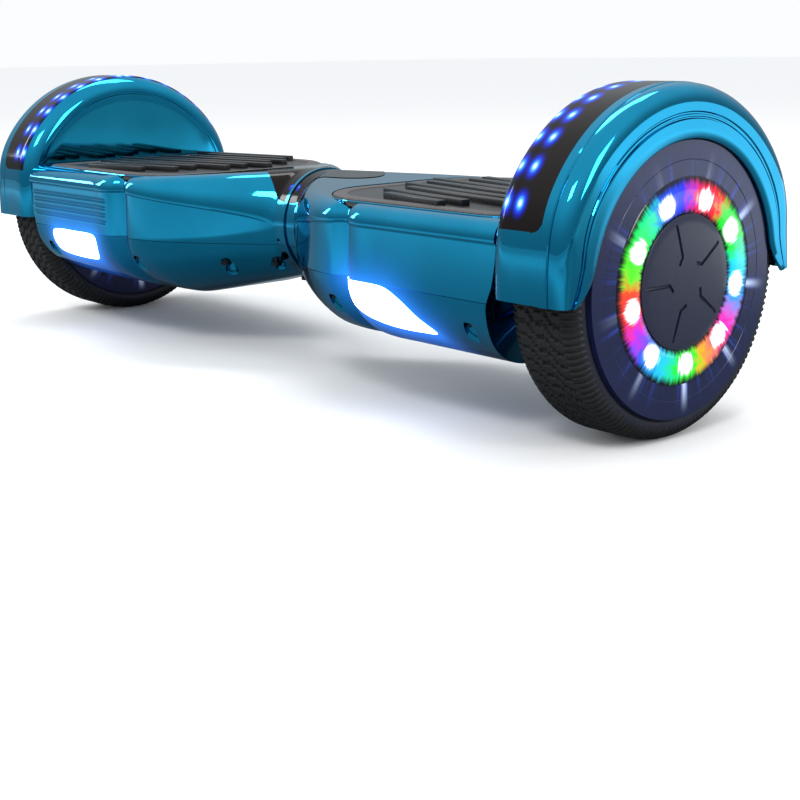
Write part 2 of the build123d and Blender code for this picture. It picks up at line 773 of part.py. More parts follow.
# Wheel hub: rim, flange, outer disc and the outer bearing's seat
seat_wall = 4.0
with BuildPart() as wheel_hub:
    add(spun([(hub_in, hub_inner_radius), (hub_in, tyre_seat_radius), (hub_disc, tyre_seat_radius),
              (hub_disc, rim_radius), (rim_face, rim_radius), (rim_face, led_ring_outer + 0.5),
              (hub_face, led_ring_outer + 0.5), (hub_face, bearing_outer_radius - 4.0),
              (outer_bearing_end, bearing_outer_radius - 4.0), (outer_bearing_end, bearing_outer_radius),
              (outer_bearing_end - bearing_width, bearing_outer_radius),
              (outer_bearing_end - bearing_width, bearing_outer_radius + seat_wall),
              (hub_disc, bearing_outer_radius + seat_wall), (hub_disc, hub_inner_radius)]))
    with BuildSketch(axle_plane(hub_in - 1.0)):
        with PolarLocations(tyre_seat_radius - 2.0, 6):
            Circle(1.5)
    extrude(amount=8.0, mode=Mode.SUBTRACT)
export_pair(wheel_hub, "wheel_hub")

with BuildPart() as inner_cover:
    add(spun([(cover_in, axle_radius + 0.6), (cover_in, rim_radius), (hub_in, rim_radius),
              (hub_in, bearing_outer_radius + seat_wall),
              (inner_bearing_start + bearing_width, bearing_outer_radius + seat_wall),
              (inner_bearing_start + bearing_width, bearing_outer_radius),
              (inner_bearing_start, bearing_outer_radius), (inner_bearing_start, axle_radius + 0.6)]))
    with BuildSketch(axle_plane(cover_in - 1.0)):
        with PolarLocations(tyre_seat_radius - 2.0, 6):
            Circle(1.5)
    extrude(amount=8.0, mode=Mode.SUBTRACT)
export_pair(inner_cover, "inner_cover")

with BuildPart() as cover_screws:
    with BuildSketch(axle_plane(cover_in)):
        with PolarLocations(tyre_seat_radius - 2.0, 6):
            Circle(1.5)
    extrude(amount=hub_in - cover_in + 6.0)
export_pair(cover_screws, "cover_screws")

with BuildPart() as wheel_bearings:
    bore = bearing_bore_radius + running_clearance
    add(ring_along_x(inner_bearing_start, inner_bearing_start + bearing_width, bore, bearing_outer_radius))
    add(ring_along_x(outer_bearing_end - bearing_width, outer_bearing_end, bore, bearing_outer_radius))
export_pair(wheel_bearings, "wheel_bearings")

# Rotor magnets, glued inside the rim, and the stator with its copper windings
with BuildPart() as magnet_ring:
    add(ring_along_x(stator_middle - magnet_width / 2, stator_middle + magnet_width / 2,
                     magnet_inner_radius, hub_inner_radius))
    with BuildSketch(axle_plane(stator_middle - magnet_width / 2)):
        with PolarLocations((magnet_inner_radius + hub_inner_radius) / 2, magnet_count):
            Rectangle(2 * magnet_thickness, 1.5)
    extrude(amount=magnet_width, mode=Mode.SUBTRACT)
export_pair(magnet_ring, "magnet_ring")

slot_bottom = stator_radius * 0.66
with BuildPart() as stator_core:
    add(ring_along_x(stator_middle - stator_width / 2, stator_middle + stator_width / 2,
                     stator_seat, stator_radius))
    with BuildSketch(axle_plane(stator_middle - stator_width / 2)):
        with PolarLocations((slot_bottom + stator_radius - 2.0) / 2, stator_slots):
            Rectangle(stator_radius - 2.0 - slot_bottom, 5.0)
        with PolarLocations(stator_radius - 1.0, stator_slots):
            Rectangle(4.0, 2.0)
        with PolarLocations((stator_seat + slot_bottom) / 2, 6):
            Circle(7.0)
    extrude(amount=stator_width, mode=Mode.SUBTRACT)
export_pair(stator_core, "stator_core")

with BuildPart() as stator_windings:
    reach = stator_width / 2 + winding_overhang
    add(ring_along_x(stator_middle - reach, stator_middle + reach, slot_bottom + 1.0, stator_radius - 3.0))
    add(stator_core.part, mode=Mode.SUBTRACT)
export_pair(stator_windings, "stator_windings")

# Wheel light: circuit board ring with nine LEDs, translucent cover and the dark centre cover
led_count = 9
led_middle = (led_ring_inner + led_ring_outer) / 2
with BuildPart() as wheel_led_board:
    add(ring_along_x(hub_face, hub_face + led_board_thickness, led_ring_inner + 0.5, led_ring_outer - 0.5))
    with BuildSketch(axle_plane(hub_face + led_board_thickness)):
        with PolarLocations(led_middle, led_count):
            Rectangle(5.0, 5.0)
    extrude(amount=0.8)
export_pair(wheel_led_board, "wheel_led_board")

with BuildPart() as wheel_led_cover:
    add(ring_along_x(hub_face + led_board_thickness, wheel_face, led_ring_inner, led_ring_outer))
    add(ring_along_x(hub_face + led_board_thickness, hub_face + led_board_thickness + 1.0,
                     led_middle - 4.5, led_middle + 4.5), mode=Mode.SUBTRACT)
export_pair(wheel_led_cover, "wheel_led_cover")

slit_count = 5
with BuildPart() as wheel_centre_cover:
    add(ring_along_x(hub_face, wheel_face, 0.0, led_ring_inner - 0.3))
    with BuildSketch(axle_plane(wheel_face - 1.0)):
        with PolarLocations(led_ring_inner * 0.6, slit_count):
            SlotOverall(15.0, 2.0)
    extrude(amount=1.0, mode=Mode.SUBTRACT)
export_pair(wheel_centre_cover, "wheel_centre_cover")

# Sensor board under each platform, with two switches below the pad's plungers
with BuildPart() as sensor_board:
    add(upright_box(pad_outer_end - 120.0, pad_outer_end - 50.0, 36.0,
                    sensor_board_top - board_thickness, sensor_board_top))
    switch_top = plunger_bottom - pad_travel - shell_gap
    with BuildSketch(Plane.XY.offset(sensor_board_top)):
        with Locations(*plunger_places):
            Rectangle(9.0, 9.0)
        with Locations((pad_outer_end - 85.0, 0)):
            Rectangle(14.0, 14.0)
    extrude(amount=switch_top - sensor_board_top)
export_pair(sensor_board, "sensor_board")

# Battery pack in the right belly
battery_start = belly_end - 23.0
with BuildPart() as battery_pack:
    battery_low = belly_height + wall + 3.0
    add(upright_box(battery_start, battery_start + battery_length, battery_width / 2,
                    battery_low, battery_low + battery_height))
    fillet(battery_pack.edges(), radius=4.0)
export_piece(battery_pack, "battery_pack")

# Main circuit board and the speaker in the left belly
with BuildPart() as main_board_right_handed:
    add(upright_box(board_middle - main_board_length / 2, board_middle + main_board_length / 2,
                    main_board_width / 2, board_height_z, board_height_z + board_thickness))
    with BuildSketch(Plane.XY.offset(board_height_z + board_thickness)):
        with Locations((board_middle, 0)):
            with GridLocations(16.0, main_board_width - 20.0, 5, 2):
                Rectangle(10.0, 5.0)
    extrude(amount=14.0)
    with BuildSketch(Plane.XY.offset(board_height_z + board_thickness)):
        with Locations((board_middle, 0)):
            with GridLocations(60.0, 24.0, 2, 2):
                Circle(6.0)
    extrude(amount=18.0)

with BuildPart() as main_board:
    add(mirror(main_board_right_handed.part, about=Plane.YZ))
export_piece(main_board, "main_board")

with BuildPart() as speaker:
    with BuildSketch(Plane.XY.offset(belly_height + wall)):
        with Locations((-board_middle, 0)):
            Circle(speaker_radius)
    extrude(amount=4.0)
    with BuildSketch(Plane.XY.offset(belly_height + wall + 4.0)):
        with Locations((-board_middle, 0)):
            Circle(speaker_radius - 7.0)
    extrude(amount=speaker_depth - 4.0)
export_piece(speaker, "speaker")

# Power button, charging socket and its rubber cap, in the right half's rear wall
with BuildPart() as power_button:
    add(rear_rod(button_x, control_height, button_radius, control_face - 9.0, control_face + button_travel + 0.3))
export_piece(power_button, "power_button")

socket_depth = 9.0
with BuildPart() as charging_socket:
    add(rear_rod(socket_x, control_height, socket_radius, control_face - 14.0, control_face))
    add(rear_rod(socket_x, control_height, socket_bore_radius, control_face - socket_depth, control_face),
        mode=Mode.SUBTRACT)
    with BuildSketch(Plane(origin=(socket_x, control_face - socket_depth, control_height),
                           x_dir=(1, 0, 0), z_dir=(0, 1, 0))):
        with PolarLocations(2.8, 3):
            Circle(0.8)
    extrude(amount=4.0)
export_piece(charging_socket, "charging_socket")

cap_thickness = 2.0
cap_hinge_height = control_height + socket_radius + wall + 0.5
with BuildPart() as socket_cap:
    cap_start = control_face + shell_gap
    add(rear_rod(socket_x, control_height, socket_radius + wall, cap_start, cap_start + cap_thickness))
    add(rear_rod(socket_x, control_height, socket_bore_radius - 1.0, control_face - 2.0, cap_start))
    with BuildSketch(Plane(origin=(socket_x, cap_start, control_height), x_dir=(1, 0, 0), z_dir=(0, 1, 0))):
        with Locations((0, -(cap_hinge_height - control_height) / 2)):
            Rectangle(8.0, cap_hinge_height - control_height)
    extrude(amount=cap_thickness)
export_piece(socket_cap, "socket_cap")
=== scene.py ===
import json
from math import acos, asin, cos, degrees, pi, radians, sin, sqrt

import bpy
import numpy as np
from mathutils import Matrix, Vector


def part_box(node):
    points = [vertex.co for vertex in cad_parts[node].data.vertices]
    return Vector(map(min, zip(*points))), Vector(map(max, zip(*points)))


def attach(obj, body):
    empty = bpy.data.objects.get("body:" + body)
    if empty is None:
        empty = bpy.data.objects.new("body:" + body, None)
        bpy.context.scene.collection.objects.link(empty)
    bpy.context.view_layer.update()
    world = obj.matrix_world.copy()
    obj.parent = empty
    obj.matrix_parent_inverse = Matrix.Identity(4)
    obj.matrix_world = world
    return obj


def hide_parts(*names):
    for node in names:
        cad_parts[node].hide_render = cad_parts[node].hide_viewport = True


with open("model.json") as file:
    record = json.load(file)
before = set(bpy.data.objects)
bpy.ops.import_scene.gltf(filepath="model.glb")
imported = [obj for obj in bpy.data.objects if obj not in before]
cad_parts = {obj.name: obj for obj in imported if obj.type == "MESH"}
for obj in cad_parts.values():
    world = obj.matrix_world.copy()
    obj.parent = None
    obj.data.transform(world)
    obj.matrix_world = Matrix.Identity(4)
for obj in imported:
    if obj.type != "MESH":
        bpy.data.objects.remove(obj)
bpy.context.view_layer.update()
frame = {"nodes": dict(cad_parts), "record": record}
NODES = frame["nodes"]
MM = 0.001

# ---- Sizes in millimetres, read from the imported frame
tyre_low, tyre_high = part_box("right_tyre")
shell_low, shell_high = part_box("right_upper_shell")
belly_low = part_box("right_lower_shell")[0]
ring_low, ring_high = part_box("neck_ring")
AXLE = (tyre_high.z + tyre_low.z) / 2 / MM
TYRE_RADIUS = AXLE
TYRE_IN, TYRE_OUT = tyre_low.x / MM, tyre_high.x / MM
HALF_LENGTH = shell_high.x / MM
NECK_START = shell_low.x / MM
TOP = shell_high.z / MM
PARTING = shell_low.z / MM
BELLY = belly_low.z / MM
PIVOT = (ring_low.z + ring_high.z) / 2 / MM
NECK_RADIUS = (ring_high.z - ring_low.z) / 2 / MM - 1.2
FENDER_IN = HALF_LENGTH - 51.0
CREST = TOP - AXLE - 0.5
DECK = 117.0
WALL = 2.4


# ---- Materials
# Names of the shader nodes used most, and their settings
MATH, NOISE, RANGE, MIX = "ShaderNodeMath", "ShaderNodeTexNoise", "ShaderNodeMapRange", "ShaderNodeMix"
TIMES, PLUS, MINUS = {"operation": "MULTIPLY"}, {"operation": "ADD"}, {"operation": "SUBTRACT"}
TIMES_PLUS = {"operation": "MULTIPLY_ADD"}
SOFT, COLOURS = {"interpolation_type": "SMOOTHSTEP"}, {"data_type": "RGBA"}

def linear(hex_colour):
    """An sRGB hex colour as linear red, green, blue and alpha."""
    parts = [int(hex_colour[i:i + 2], 16) / 255 for i in (1, 3, 5)]
    return tuple(c / 12.92 if c <= 0.04045 else ((c + 0.055) / 1.055) ** 2.4 for c in parts) + (1.0,)


def new_finish(name, colour, roughness, metallic=0.0):
    """A material with one Principled shader: its name, colour, roughness and metallic."""
    material = bpy.data.materials.new(name)
    material.use_nodes = True
    shader = material.node_tree.nodes["Principled BSDF"]
    shader.inputs["Base Color"].default_value = linear(colour)
    shader.inputs["Roughness"].default_value = roughness
    shader.inputs["Metallic"].default_value = metallic
    return material, material.node_tree, shader


def add_node(tree, kind, settings, inputs):
    """A node with its settings, and its inputs as values or as the sockets that feed them."""
    node = tree.nodes.new(kind)
    for key, value in settings.items():
        setattr(node, key, value)
    for key, value in inputs.items():
        if isinstance(value, bpy.types.NodeSocket):
            tree.links.new(value, node.inputs[key])
        else:
            node.inputs[key].default_value = value
    return node


def grained(name, dark, light, roughness, metallic, grain_mm, depth_mm):
    """A moulded, cast or turned finish: two shades of one colour over a grain of a real size."""
    material, tree, shader = new_finish(name, dark, roughness, metallic)
    place = add_node(tree, "ShaderNodeTexCoord", {}, {}).outputs["Object"]
    grain = add_node(tree, NOISE, {}, {"Vector": place, "Scale": 1 / (grain_mm * MM), "Detail": 3.0})
    shade = add_node(tree, MIX, COLOURS,
                     {0: grain.outputs["Fac"], 6: linear(dark), 7: linear(light)})
    bump = add_node(tree, "ShaderNodeBump", {}, {"Height": grain.outputs["Fac"], "Strength": 0.5,
                                                 "Distance": depth_mm * MM})
    tree.links.new(shade.outputs[2], shader.inputs["Base Color"])
    tree.links.new(bump.outputs["Normal"], shader.inputs["Normal"])
    return material, tree, shader, place, grain


def plated_shell():
    # Vacuum plated ABS under tinted lacquer: a blue mirror, rippled very slightly by the moulding under it,
    # with the headlights' light painted over it as a blue emissive glow
    material, tree, shader = new_finish("vacuum_plated_abs", "#1e8fb4", 0.05, 1.0)
    place = add_node(tree, "ShaderNodeTexCoord", {}, {}).outputs["Object"]
    haze = add_node(tree, NOISE, {}, {"Vector": place, "Scale": 1 / (34 * MM), "Detail": 2.0})
    shade = add_node(tree, MIX, COLOURS,
                     {0: haze.outputs["Fac"], 6: linear("#1b86ab"), 7: linear("#2297bd")})
    gloss = add_node(tree, RANGE, {}, {"Value": haze.outputs["Fac"], "From Min": 0.35,
                                                      "From Max": 0.7, "To Min": 0.03, "To Max": 0.075})
    ripple = add_node(tree, NOISE, {}, {"Vector": place, "Scale": 1 / (22 * MM), "Detail": 0.0})
    bump = add_node(tree, "ShaderNodeBump", {}, {"Height": ripple.outputs["Fac"], "Strength": 0.2,
                                                 "Distance": 0.3 * MM})
    # Painted light: the headlights' glow over the shell, drawn as blue emission from a mesh attribute
    painted_halo = add_node(tree, "ShaderNodeAttribute", {"attribute_name": "painted_halo"}, {})
    glow = add_node(tree, MATH, TIMES, {0: painted_halo.outputs["Fac"], 1: 1.1})
    tree.links.new(shade.outputs[2], shader.inputs["Base Color"])
    tree.links.new(gloss.outputs[0], shader.inputs["Roughness"])
    tree.links.new(bump.outputs["Normal"], shader.inputs["Normal"])
    tree.links.new(glow.outputs[0], shader.inputs["Emission Strength"])
    shader.inputs["Emission Color"].default_value = linear("#2f7dff")
    return material


def lit_lens():
    # Frosted acrylic lit from behind: white, a little bluer towards its edge
    material, tree, shader = new_finish("frosted_acrylic_lit", "#f2f9ff", 0.35)
    edge = add_node(tree, "ShaderNodeAttribute", {"attribute_name": "edge"}, {})
    colour = add_node(tree, MIX, COLOURS,
                      {0: edge.outputs["Fac"], 6: linear("#ffffff"), 7: linear("#9fd2ff")})
    tree.links.new(colour.outputs[2], shader.inputs["Emission Color"])
    shader.inputs["Emission Strength"].default_value = 4.0
    return material


def lamp_strip():
    # Smoked polycarbonate, glossy and nearly black: the diodes behind it show white with a blue spread
    material, tree, shader = new_finish("smoked_polycarbonate", "#120d0b", 0.07)
    place = add_node(tree, "ShaderNodeTexCoord", {}, {}).outputs["Object"]
    haze = add_node(tree, NOISE, {}, {"Vector": place, "Scale": 1 / (9 * MM), "Detail": 2.0})
    gloss = add_node(tree, RANGE, {}, {"Value": haze.outputs["Fac"], "To Min": 0.05, "To Max": 0.12})
    lamp = add_node(tree, "ShaderNodeAttribute", {"attribute_name": "lamp"}, {})
    ramp = add_node(tree, "ShaderNodeValToRGB", {}, {"Fac": lamp.outputs["Fac"]})
    stops = ramp.color_ramp.elements
    stops[0].position, stops[0].color = 0.05, linear("#000000")
    stops[1].position, stops[1].color = 1.0, linear("#e8fbff")
    for place_on_ramp, colour in ((0.2, "#050c6a"), (0.42, "#0a22e0"), (0.68, "#1650ff"), (0.88, "#4cb4ff")):
        stops.new(place_on_ramp).color = linear(colour)
    power = add_node(tree, RANGE, {}, {"Value": lamp.outputs["Fac"], "From Min": 0.1,
                                                      "To Min": 0.0, "To Max": 1.5})
    tree.links.new(gloss.outputs[0], shader.inputs["Roughness"])
    tree.links.new(ramp.outputs["Color"], shader.inputs["Emission Color"])
    tree.links.new(power.outputs[0], shader.inputs["Emission Strength"])
    shader.inputs["Specular IOR Level"].default_value = 0.16
    return material


# Angle round the wheel in degrees, and the colour that the lit ring has there
RING_COLOURS = [(-180, "#ff4a1e"), (-163, "#ff2a3a"), (-148, "#c32aff"), (-136, "#2a58ff"), (-116, "#18c8ff"),
                (-96, "#14f03c"), (-78, "#3cf01e"), (-68, "#ffae10"), (-52, "#ff4a7a"), (-36, "#ff18c0"),
                (-16, "#2a9cff"), (4, "#12d8ff"), (24, "#18ff3c"), (46, "#14e02a"), (58, "#ff1e2a"),
                (80, "#ff1e5a"), (96, "#2a30ff"), (118, "#1e62ff"), (134, "#10ff9a"), (152, "#1eff28"),
                (170, "#6af01e")]
DIODE_STEP = 40.0
DIODE_FIRST = 113.0
DIODE_RADIUS = 42.0


def wheel_polar(tree):
    """The radius in metres and the angle in radians round the axle, from object coordinates."""
    place = add_node(tree, "ShaderNodeTexCoord", {}, {}).outputs["Object"]
    moved = add_node(tree, "ShaderNodeVectorMath", MINUS, {0: place, 1: (0, 0, AXLE * MM)})
    flat = add_node(tree, "ShaderNodeVectorMath", TIMES, {0: moved.outputs[0], 1: (0, 1, 1)})
    radius = add_node(tree, "ShaderNodeVectorMath", {"operation": "LENGTH"},
                      {0: flat.outputs[0]}).outputs["Value"]
    parts = add_node(tree, "ShaderNodeSeparateXYZ", {}, {0: flat.outputs[0]})
    angle = add_node(tree, MATH, {"operation": "ARCTAN2"}, {0: parts.outputs["Z"], 1: parts.outputs["Y"]})
    along = add_node(tree, "ShaderNodeVectorMath", {"operation": "NORMALIZE"}, {0: flat.outputs[0]})
    return flat.outputs[0], radius, angle.outputs[0], along.outputs[0]


def ring_colour(tree, angle):
    """The ring's colour round the wheel, as a ramp over one turn."""
    turn = add_node(tree, RANGE, {}, {"Value": angle, "From Min": -pi, "From Max": pi})
    ramp = add_node(tree, "ShaderNodeValToRGB", {}, {"Fac": turn.outputs[0]})
    stops = ramp.color_ramp.elements
    stops[0].position, stops[0].color = 0.0, linear(RING_COLOURS[0][1])
    stops[1].position, stops[1].color = 1.0, linear(RING_COLOURS[0][1])
    for degrees_round, colour in RING_COLOURS[1:]:
        stops.new((degrees_round + 180) / 360).color = linear(colour)
    return ramp.outputs["Color"]


def diode_angle(tree, angle):
    """The angle from the nearest diode, in radians."""
    step = radians(DIODE_STEP)
    shifted = add_node(tree, MATH, PLUS, {0: angle, 1: 4 * pi - radians(DIODE_FIRST) + step / 2})
    wrapped = add_node(tree, MATH, {"operation": "MODULO"}, {0: shifted.outputs[0], 1: step})
    return add_node(tree, MATH, MINUS, {0: wrapped.outputs[0], 1: step / 2}).outputs[0]


def lit_ring():
    # Clear polycarbonate over nine coloured diodes: saturated colour, with a splash of white over each diode
    material, tree, shader = new_finish("clear_polycarbonate_lit", "#0b0b12", 0.15)
    flat, radius, angle, along = wheel_polar(tree)
    grain = add_node(tree, NOISE, {}, {"Vector": along, "Scale": 15.0, "Detail": 5.0, "Roughness": 0.72})
    patch = add_node(tree, NOISE, {}, {"Vector": flat, "Scale": 1 / (5 * MM), "Detail": 3.0})
    wobble = add_node(tree, MATH, TIMES_PLUS, {0: patch.outputs["Fac"], 1: 0.5, 2: -0.25})
    turned_angle = add_node(tree, MATH, PLUS, {0: angle, 1: wobble.outputs[0]})
    colour = ring_colour(tree, turned_angle.outputs[0])
    beside = diode_angle(tree, angle)
    across = add_node(tree, MATH, TIMES, {0: beside, 1: DIODE_RADIUS * MM})
    outward = add_node(tree, MATH, MINUS, {0: radius, 1: DIODE_RADIUS * MM})
    squares = [add_node(tree, MATH, {"operation": "POWER"}, {0: socket.outputs[0], 1: 2.0}).outputs[0]
               for socket in (across, outward)]
    total = add_node(tree, MATH, PLUS, {0: squares[0], 1: squares[1]})
    away = add_node(tree, MATH, {"operation": "SQRT"}, {0: total.outputs[0]})
    ragged = add_node(tree, MATH, TIMES_PLUS,
                      {0: grain.outputs["Fac"], 1: 12 * MM, 2: away.outputs[0]})
    white = add_node(tree, RANGE, SOFT,
                     {"Value": ragged.outputs[0], "From Min": 9.5 * MM, "From Max": 13.5 * MM,
                      "To Min": 1.0, "To Max": 0.0})
    mixed = add_node(tree, MIX, COLOURS,
                     {0: white.outputs[0], 6: colour, 7: linear("#ffffff")})
    spread = add_node(tree, MATH, TIMES_PLUS,
                      {0: grain.outputs["Fac"], 1: 11 * MM, 2: -5.5 * MM})
    edge_radius = add_node(tree, MATH, PLUS, {0: radius, 1: spread.outputs[0]})
    inner = add_node(tree, RANGE, SOFT,
                     {"Value": edge_radius.outputs[0], "From Min": 34.5 * MM, "From Max": 38.0 * MM})
    outer = add_node(tree, RANGE, SOFT,
                     {"Value": edge_radius.outputs[0], "From Min": 47.5 * MM, "From Max": 52.5 * MM,
                      "To Min": 1.0,
                      "To Max": 0.0})
    band = add_node(tree, MATH, TIMES, {0: inner.outputs[0], 1: outer.outputs[0]})
    power = add_node(tree, RANGE, {}, {"Value": white.outputs[0], "To Min": 1.15, "To Max": 3.5})
    strength = add_node(tree, MATH, TIMES, {0: band.outputs[0], 1: power.outputs[0]})
    tree.links.new(mixed.outputs[2], shader.inputs["Emission Color"])
    tree.links.new(strength.outputs[0], shader.inputs["Emission Strength"])
    return material


def turned_rim():
    # Black lacquered steel, turned. The light from the ring running out over it in fine rays is a painted
    # reflection, drawn as emission
    material, tree, shader = new_finish("black_lacquered_turned_steel", "#161c44", 0.28, 0.4)
    flat, radius, angle, along = wheel_polar(tree)
    # Painted reflection: fine rays of the ring's light, strongest beside each diode and fading outwards
    painted_rays = add_node(tree, NOISE, {}, {"Vector": along, "Scale": 14.0, "Detail": 5.0, "Roughness": 0.65})
    bright = add_node(tree, RANGE, SOFT,
                      {"Value": painted_rays.outputs["Fac"], "From Min": 0.5, "From Max": 0.78})
    beside = diode_angle(tree, angle)
    size = add_node(tree, MATH, {"operation": "ABSOLUTE"}, {0: beside})
    painted_beam = add_node(tree, RANGE, {"interpolation_type": "SMOOTHERSTEP"},
                    {"Value": size.outputs[0], "From Min": 0.0, "From Max": 0.075, "To Min": 1.0,
                     "To Max": 0.0})
    fade = add_node(tree, RANGE, {"interpolation_type": "SMOOTHERSTEP"},
                    {"Value": radius, "From Min": 49 * MM, "From Max": 71 * MM, "To Min": 1.0, "To Max": 0.0})
    uneven = add_node(tree, NOISE, {}, {"Vector": along, "Scale": 1.6, "Detail": 1.0})
    share = add_node(tree, RANGE, SOFT,
                     {"Value": uneven.outputs["Fac"], "From Min": 0.4, "From Max": 0.62, "To Min": 0.15,
                      "To Max": 1.4})
    lone = add_node(tree, MATH, TIMES, {0: painted_beam.outputs[0], 1: share.outputs[0]})
    light = add_node(tree, MATH, PLUS, {0: lone.outputs[0], 1: bright.outputs[0]})
    strength = add_node(tree, MATH, TIMES, {0: light.outputs[0], 1: fade.outputs[0]})
    power = add_node(tree, MATH, TIMES, {0: strength.outputs[0], 1: 0.75})
    tint = add_node(tree, MIX, COLOURS,
                    {0: painted_beam.outputs[0], 6: linear("#3a56e0"), 7: linear("#c8dcff")})
    # The painted reflection of the ring's light goes in as emission
    tree.links.new(tint.outputs[2], shader.inputs["Emission Color"])
    tree.links.new(power.outputs[0], shader.inputs["Emission Strength"])
    shader.inputs["Coat Weight"].default_value = 0.3
    return material


PLATED = plated_shell()
LENS = lit_lens()
STRIP = lamp_strip()
RING_LIGHT = lit_ring()
RIM = turned_rim()
# Moulded rubber mat: matt dark grey with a leathery grain
PAD = grained("moulded_rubber_mat", "#0d0c0c", "#1a1818", 0.36, 0.0, 1.2, 0.08)[0]
# The mat's border: the same rubber with a coarser, lighter grain
PAD_BORDER = grained("grained_rubber_border", "#2b2727", "#5f5857", 0.5, 0.0, 1.5, 0.3)[0]
# Solid tyre compound: black with a brown cast
TYRE = grained("solid_tyre_compound", "#0b0a0a", "#161413", 0.7, 0.0, 2.4, 0.15)[0]
# Tyre wall: the same compound, smoother, and bluer: the wheel's blue light is painted into its colour
TYRE_WALL = grained("smooth_tyre_wall", "#12121c", "#1d1d2c", 0.45, 0.0, 4.0, 0.05)[0]
# Satin moulded cover in dark slate
SLATE = grained("satin_slate_abs", "#181a2c", "#22253c", 0.3, 0.0, 1.0, 0.02)[0]
# Matt near black inside the hub cap's slits: painted shade where shadow falls in them
SLIT_SHADE = grained("painted_shade_in_slits", "#050506", "#0b0b0d", 0.8, 0.0, 1.0, 0.02)[0]
FINISHES = {
    "shell_chrome": PLATED, "pad_rubber": PAD, "smoked_cover": STRIP, "headlight": LENS,
    "led_cover": RING_LIGHT, "tyre_rubber": TYRE, "hub_black": RIM,
    # As cast aluminium: pale grey with a fine sandy skin
    "cast_frame": grained("as_cast_aluminium", "#8f9295", "#b0b2b4", 0.48, 1.0, 1.4, 0.12)[0],
    # Solder mask over glass fibre: green with the weave just showing
    "circuit_board": grained("solder_masked_board", "#0b4726", "#146232", 0.38, 0.0, 1.8, 0.03)[0],
    # Turned steel: bright with fine rings
    "steel": grained("turned_steel", "#8b8e91", "#aaadb0", 0.27, 1.0, 0.6, 0.02)[0],
    # Stacked electrical steel: dull grey, with its sheets' edges
    "lamination_steel": grained("stacked_electrical_steel", "#585b5e", "#75777a", 0.42, 1.0, 0.5, 0.05)[0],
    # Enamelled copper wire: red brown with a varnish gloss
    "copper": grained("enamelled_copper_wire", "#9c4c26", "#bd6833", 0.3, 1.0, 0.9, 0.12)[0],
    # Black zinc on steel: dark with a slight shine
    "screw_steel": grained("black_zinc_steel", "#232427", "#3a3b3f", 0.4, 1.0, 0.8, 0.03)[0],
    # Nickel plate on a magnet: pale and smooth
    "magnet": grained("nickel_plated_magnet", "#a3a4a6", "#bdbec0", 0.25, 1.0, 1.0, 0.02)[0],
    # Sintered bronze: brown yellow, with pores
    "bush_bronze": grained("sintered_bronze", "#94692f", "#b08444", 0.5, 1.0, 0.5, 0.05)[0],
    # Heat shrink film: blue, glossy, creased
    "battery_wrap": grained("blue_heat_shrink_film", "#133878", "#1d4c9e", 0.28, 0.0, 7.0, 0.3)[0],
    # Moulded plastic of the speaker: matt black
    "speaker_black": grained("matt_moulded_plastic", "#131313", "#202020", 0.6, 0.0, 0.8, 0.05)[0],
    # Moulded ABS of the button: satin black
    "button_black": grained("satin_moulded_abs", "#17171a", "#232327", 0.35, 0.0, 0.9, 0.03)[0],
    # Nickel plate on brass: pale with a warm cast
    "socket_steel": grained("nickel_plated_brass", "#a6a5a2", "#bfbebb", 0.25, 1.0, 0.8, 0.02)[0],
    # Moulded silicone of the cap: soft matt black
    "cap_rubber": grained("moulded_silicone", "#151515", "#242424", 0.62, 0.0, 1.0, 0.08)[0],
}
for entry in frame["record"]["subparts"]:
    node = NODES[entry["node"]]
    node.data.materials.clear()
    node.data.materials.append(FINISHES[entry["material_slot"]])


# ---- Work on meshes
def choose(piece):
    """Only this piece is selected, and it is active."""
    if bpy.context.object and bpy.context.object.mode != "OBJECT":
        bpy.ops.object.mode_set(mode="OBJECT")
    bpy.ops.object.select_all(action="DESELECT")
    piece.select_set(True)
    bpy.context.view_layer.objects.active = piece


def settle(piece, name, *materials):
    """The piece's name and finishes, with its place moved into its mesh."""
    piece.name = name
    piece.data.name = name
    choose(piece)
    bpy.ops.object.transform_apply(location=True, rotation=True, scale=True)
    piece.data.materials.clear()
    for material in materials:
        piece.data.materials.append(material)
    return piece


def modify(piece, kind, **settings):
    choose(piece)
    modifier = piece.modifiers.new("step", kind)
    for key, value in settings.items():
        setattr(modifier, key, value)
    bpy.ops.object.modifier_apply(modifier=modifier.name)


def smooth(piece, angle):
    choose(piece)
    bpy.ops.object.shade_smooth_by_angle(angle=radians(angle))


def outward(piece):
    choose(piece)
    bpy.ops.object.mode_set(mode="EDIT")
    bpy.ops.mesh.select_all(action="SELECT")
    bpy.ops.mesh.remove_doubles(threshold=0.00001)
    bpy.ops.mesh.normals_make_consistent(inside=False)
    bpy.ops.object.mode_set(mode="OBJECT")


def edit_faces(piece, test):
    """Edit mode with only the faces selected whose middle and normal pass the test."""
    choose(piece)
    bpy.ops.object.mode_set(mode="EDIT")
    bpy.ops.mesh.select_all(action="DESELECT")
    bpy.ops.mesh.select_mode(type="FACE")
    bpy.ops.object.mode_set(mode="OBJECT")
    for face in piece.data.polygons:
        face.select = bool(test(face.center, face.normal))
    bpy.ops.object.mode_set(mode="EDIT")


def join(pieces):
    choose(pieces[0])
    for piece in pieces[1:]:
        piece.select_set(True)
    bpy.ops.object.join()
    return pieces[0]


MIRROR = Matrix.Diagonal((-1, 1, 1, 1))


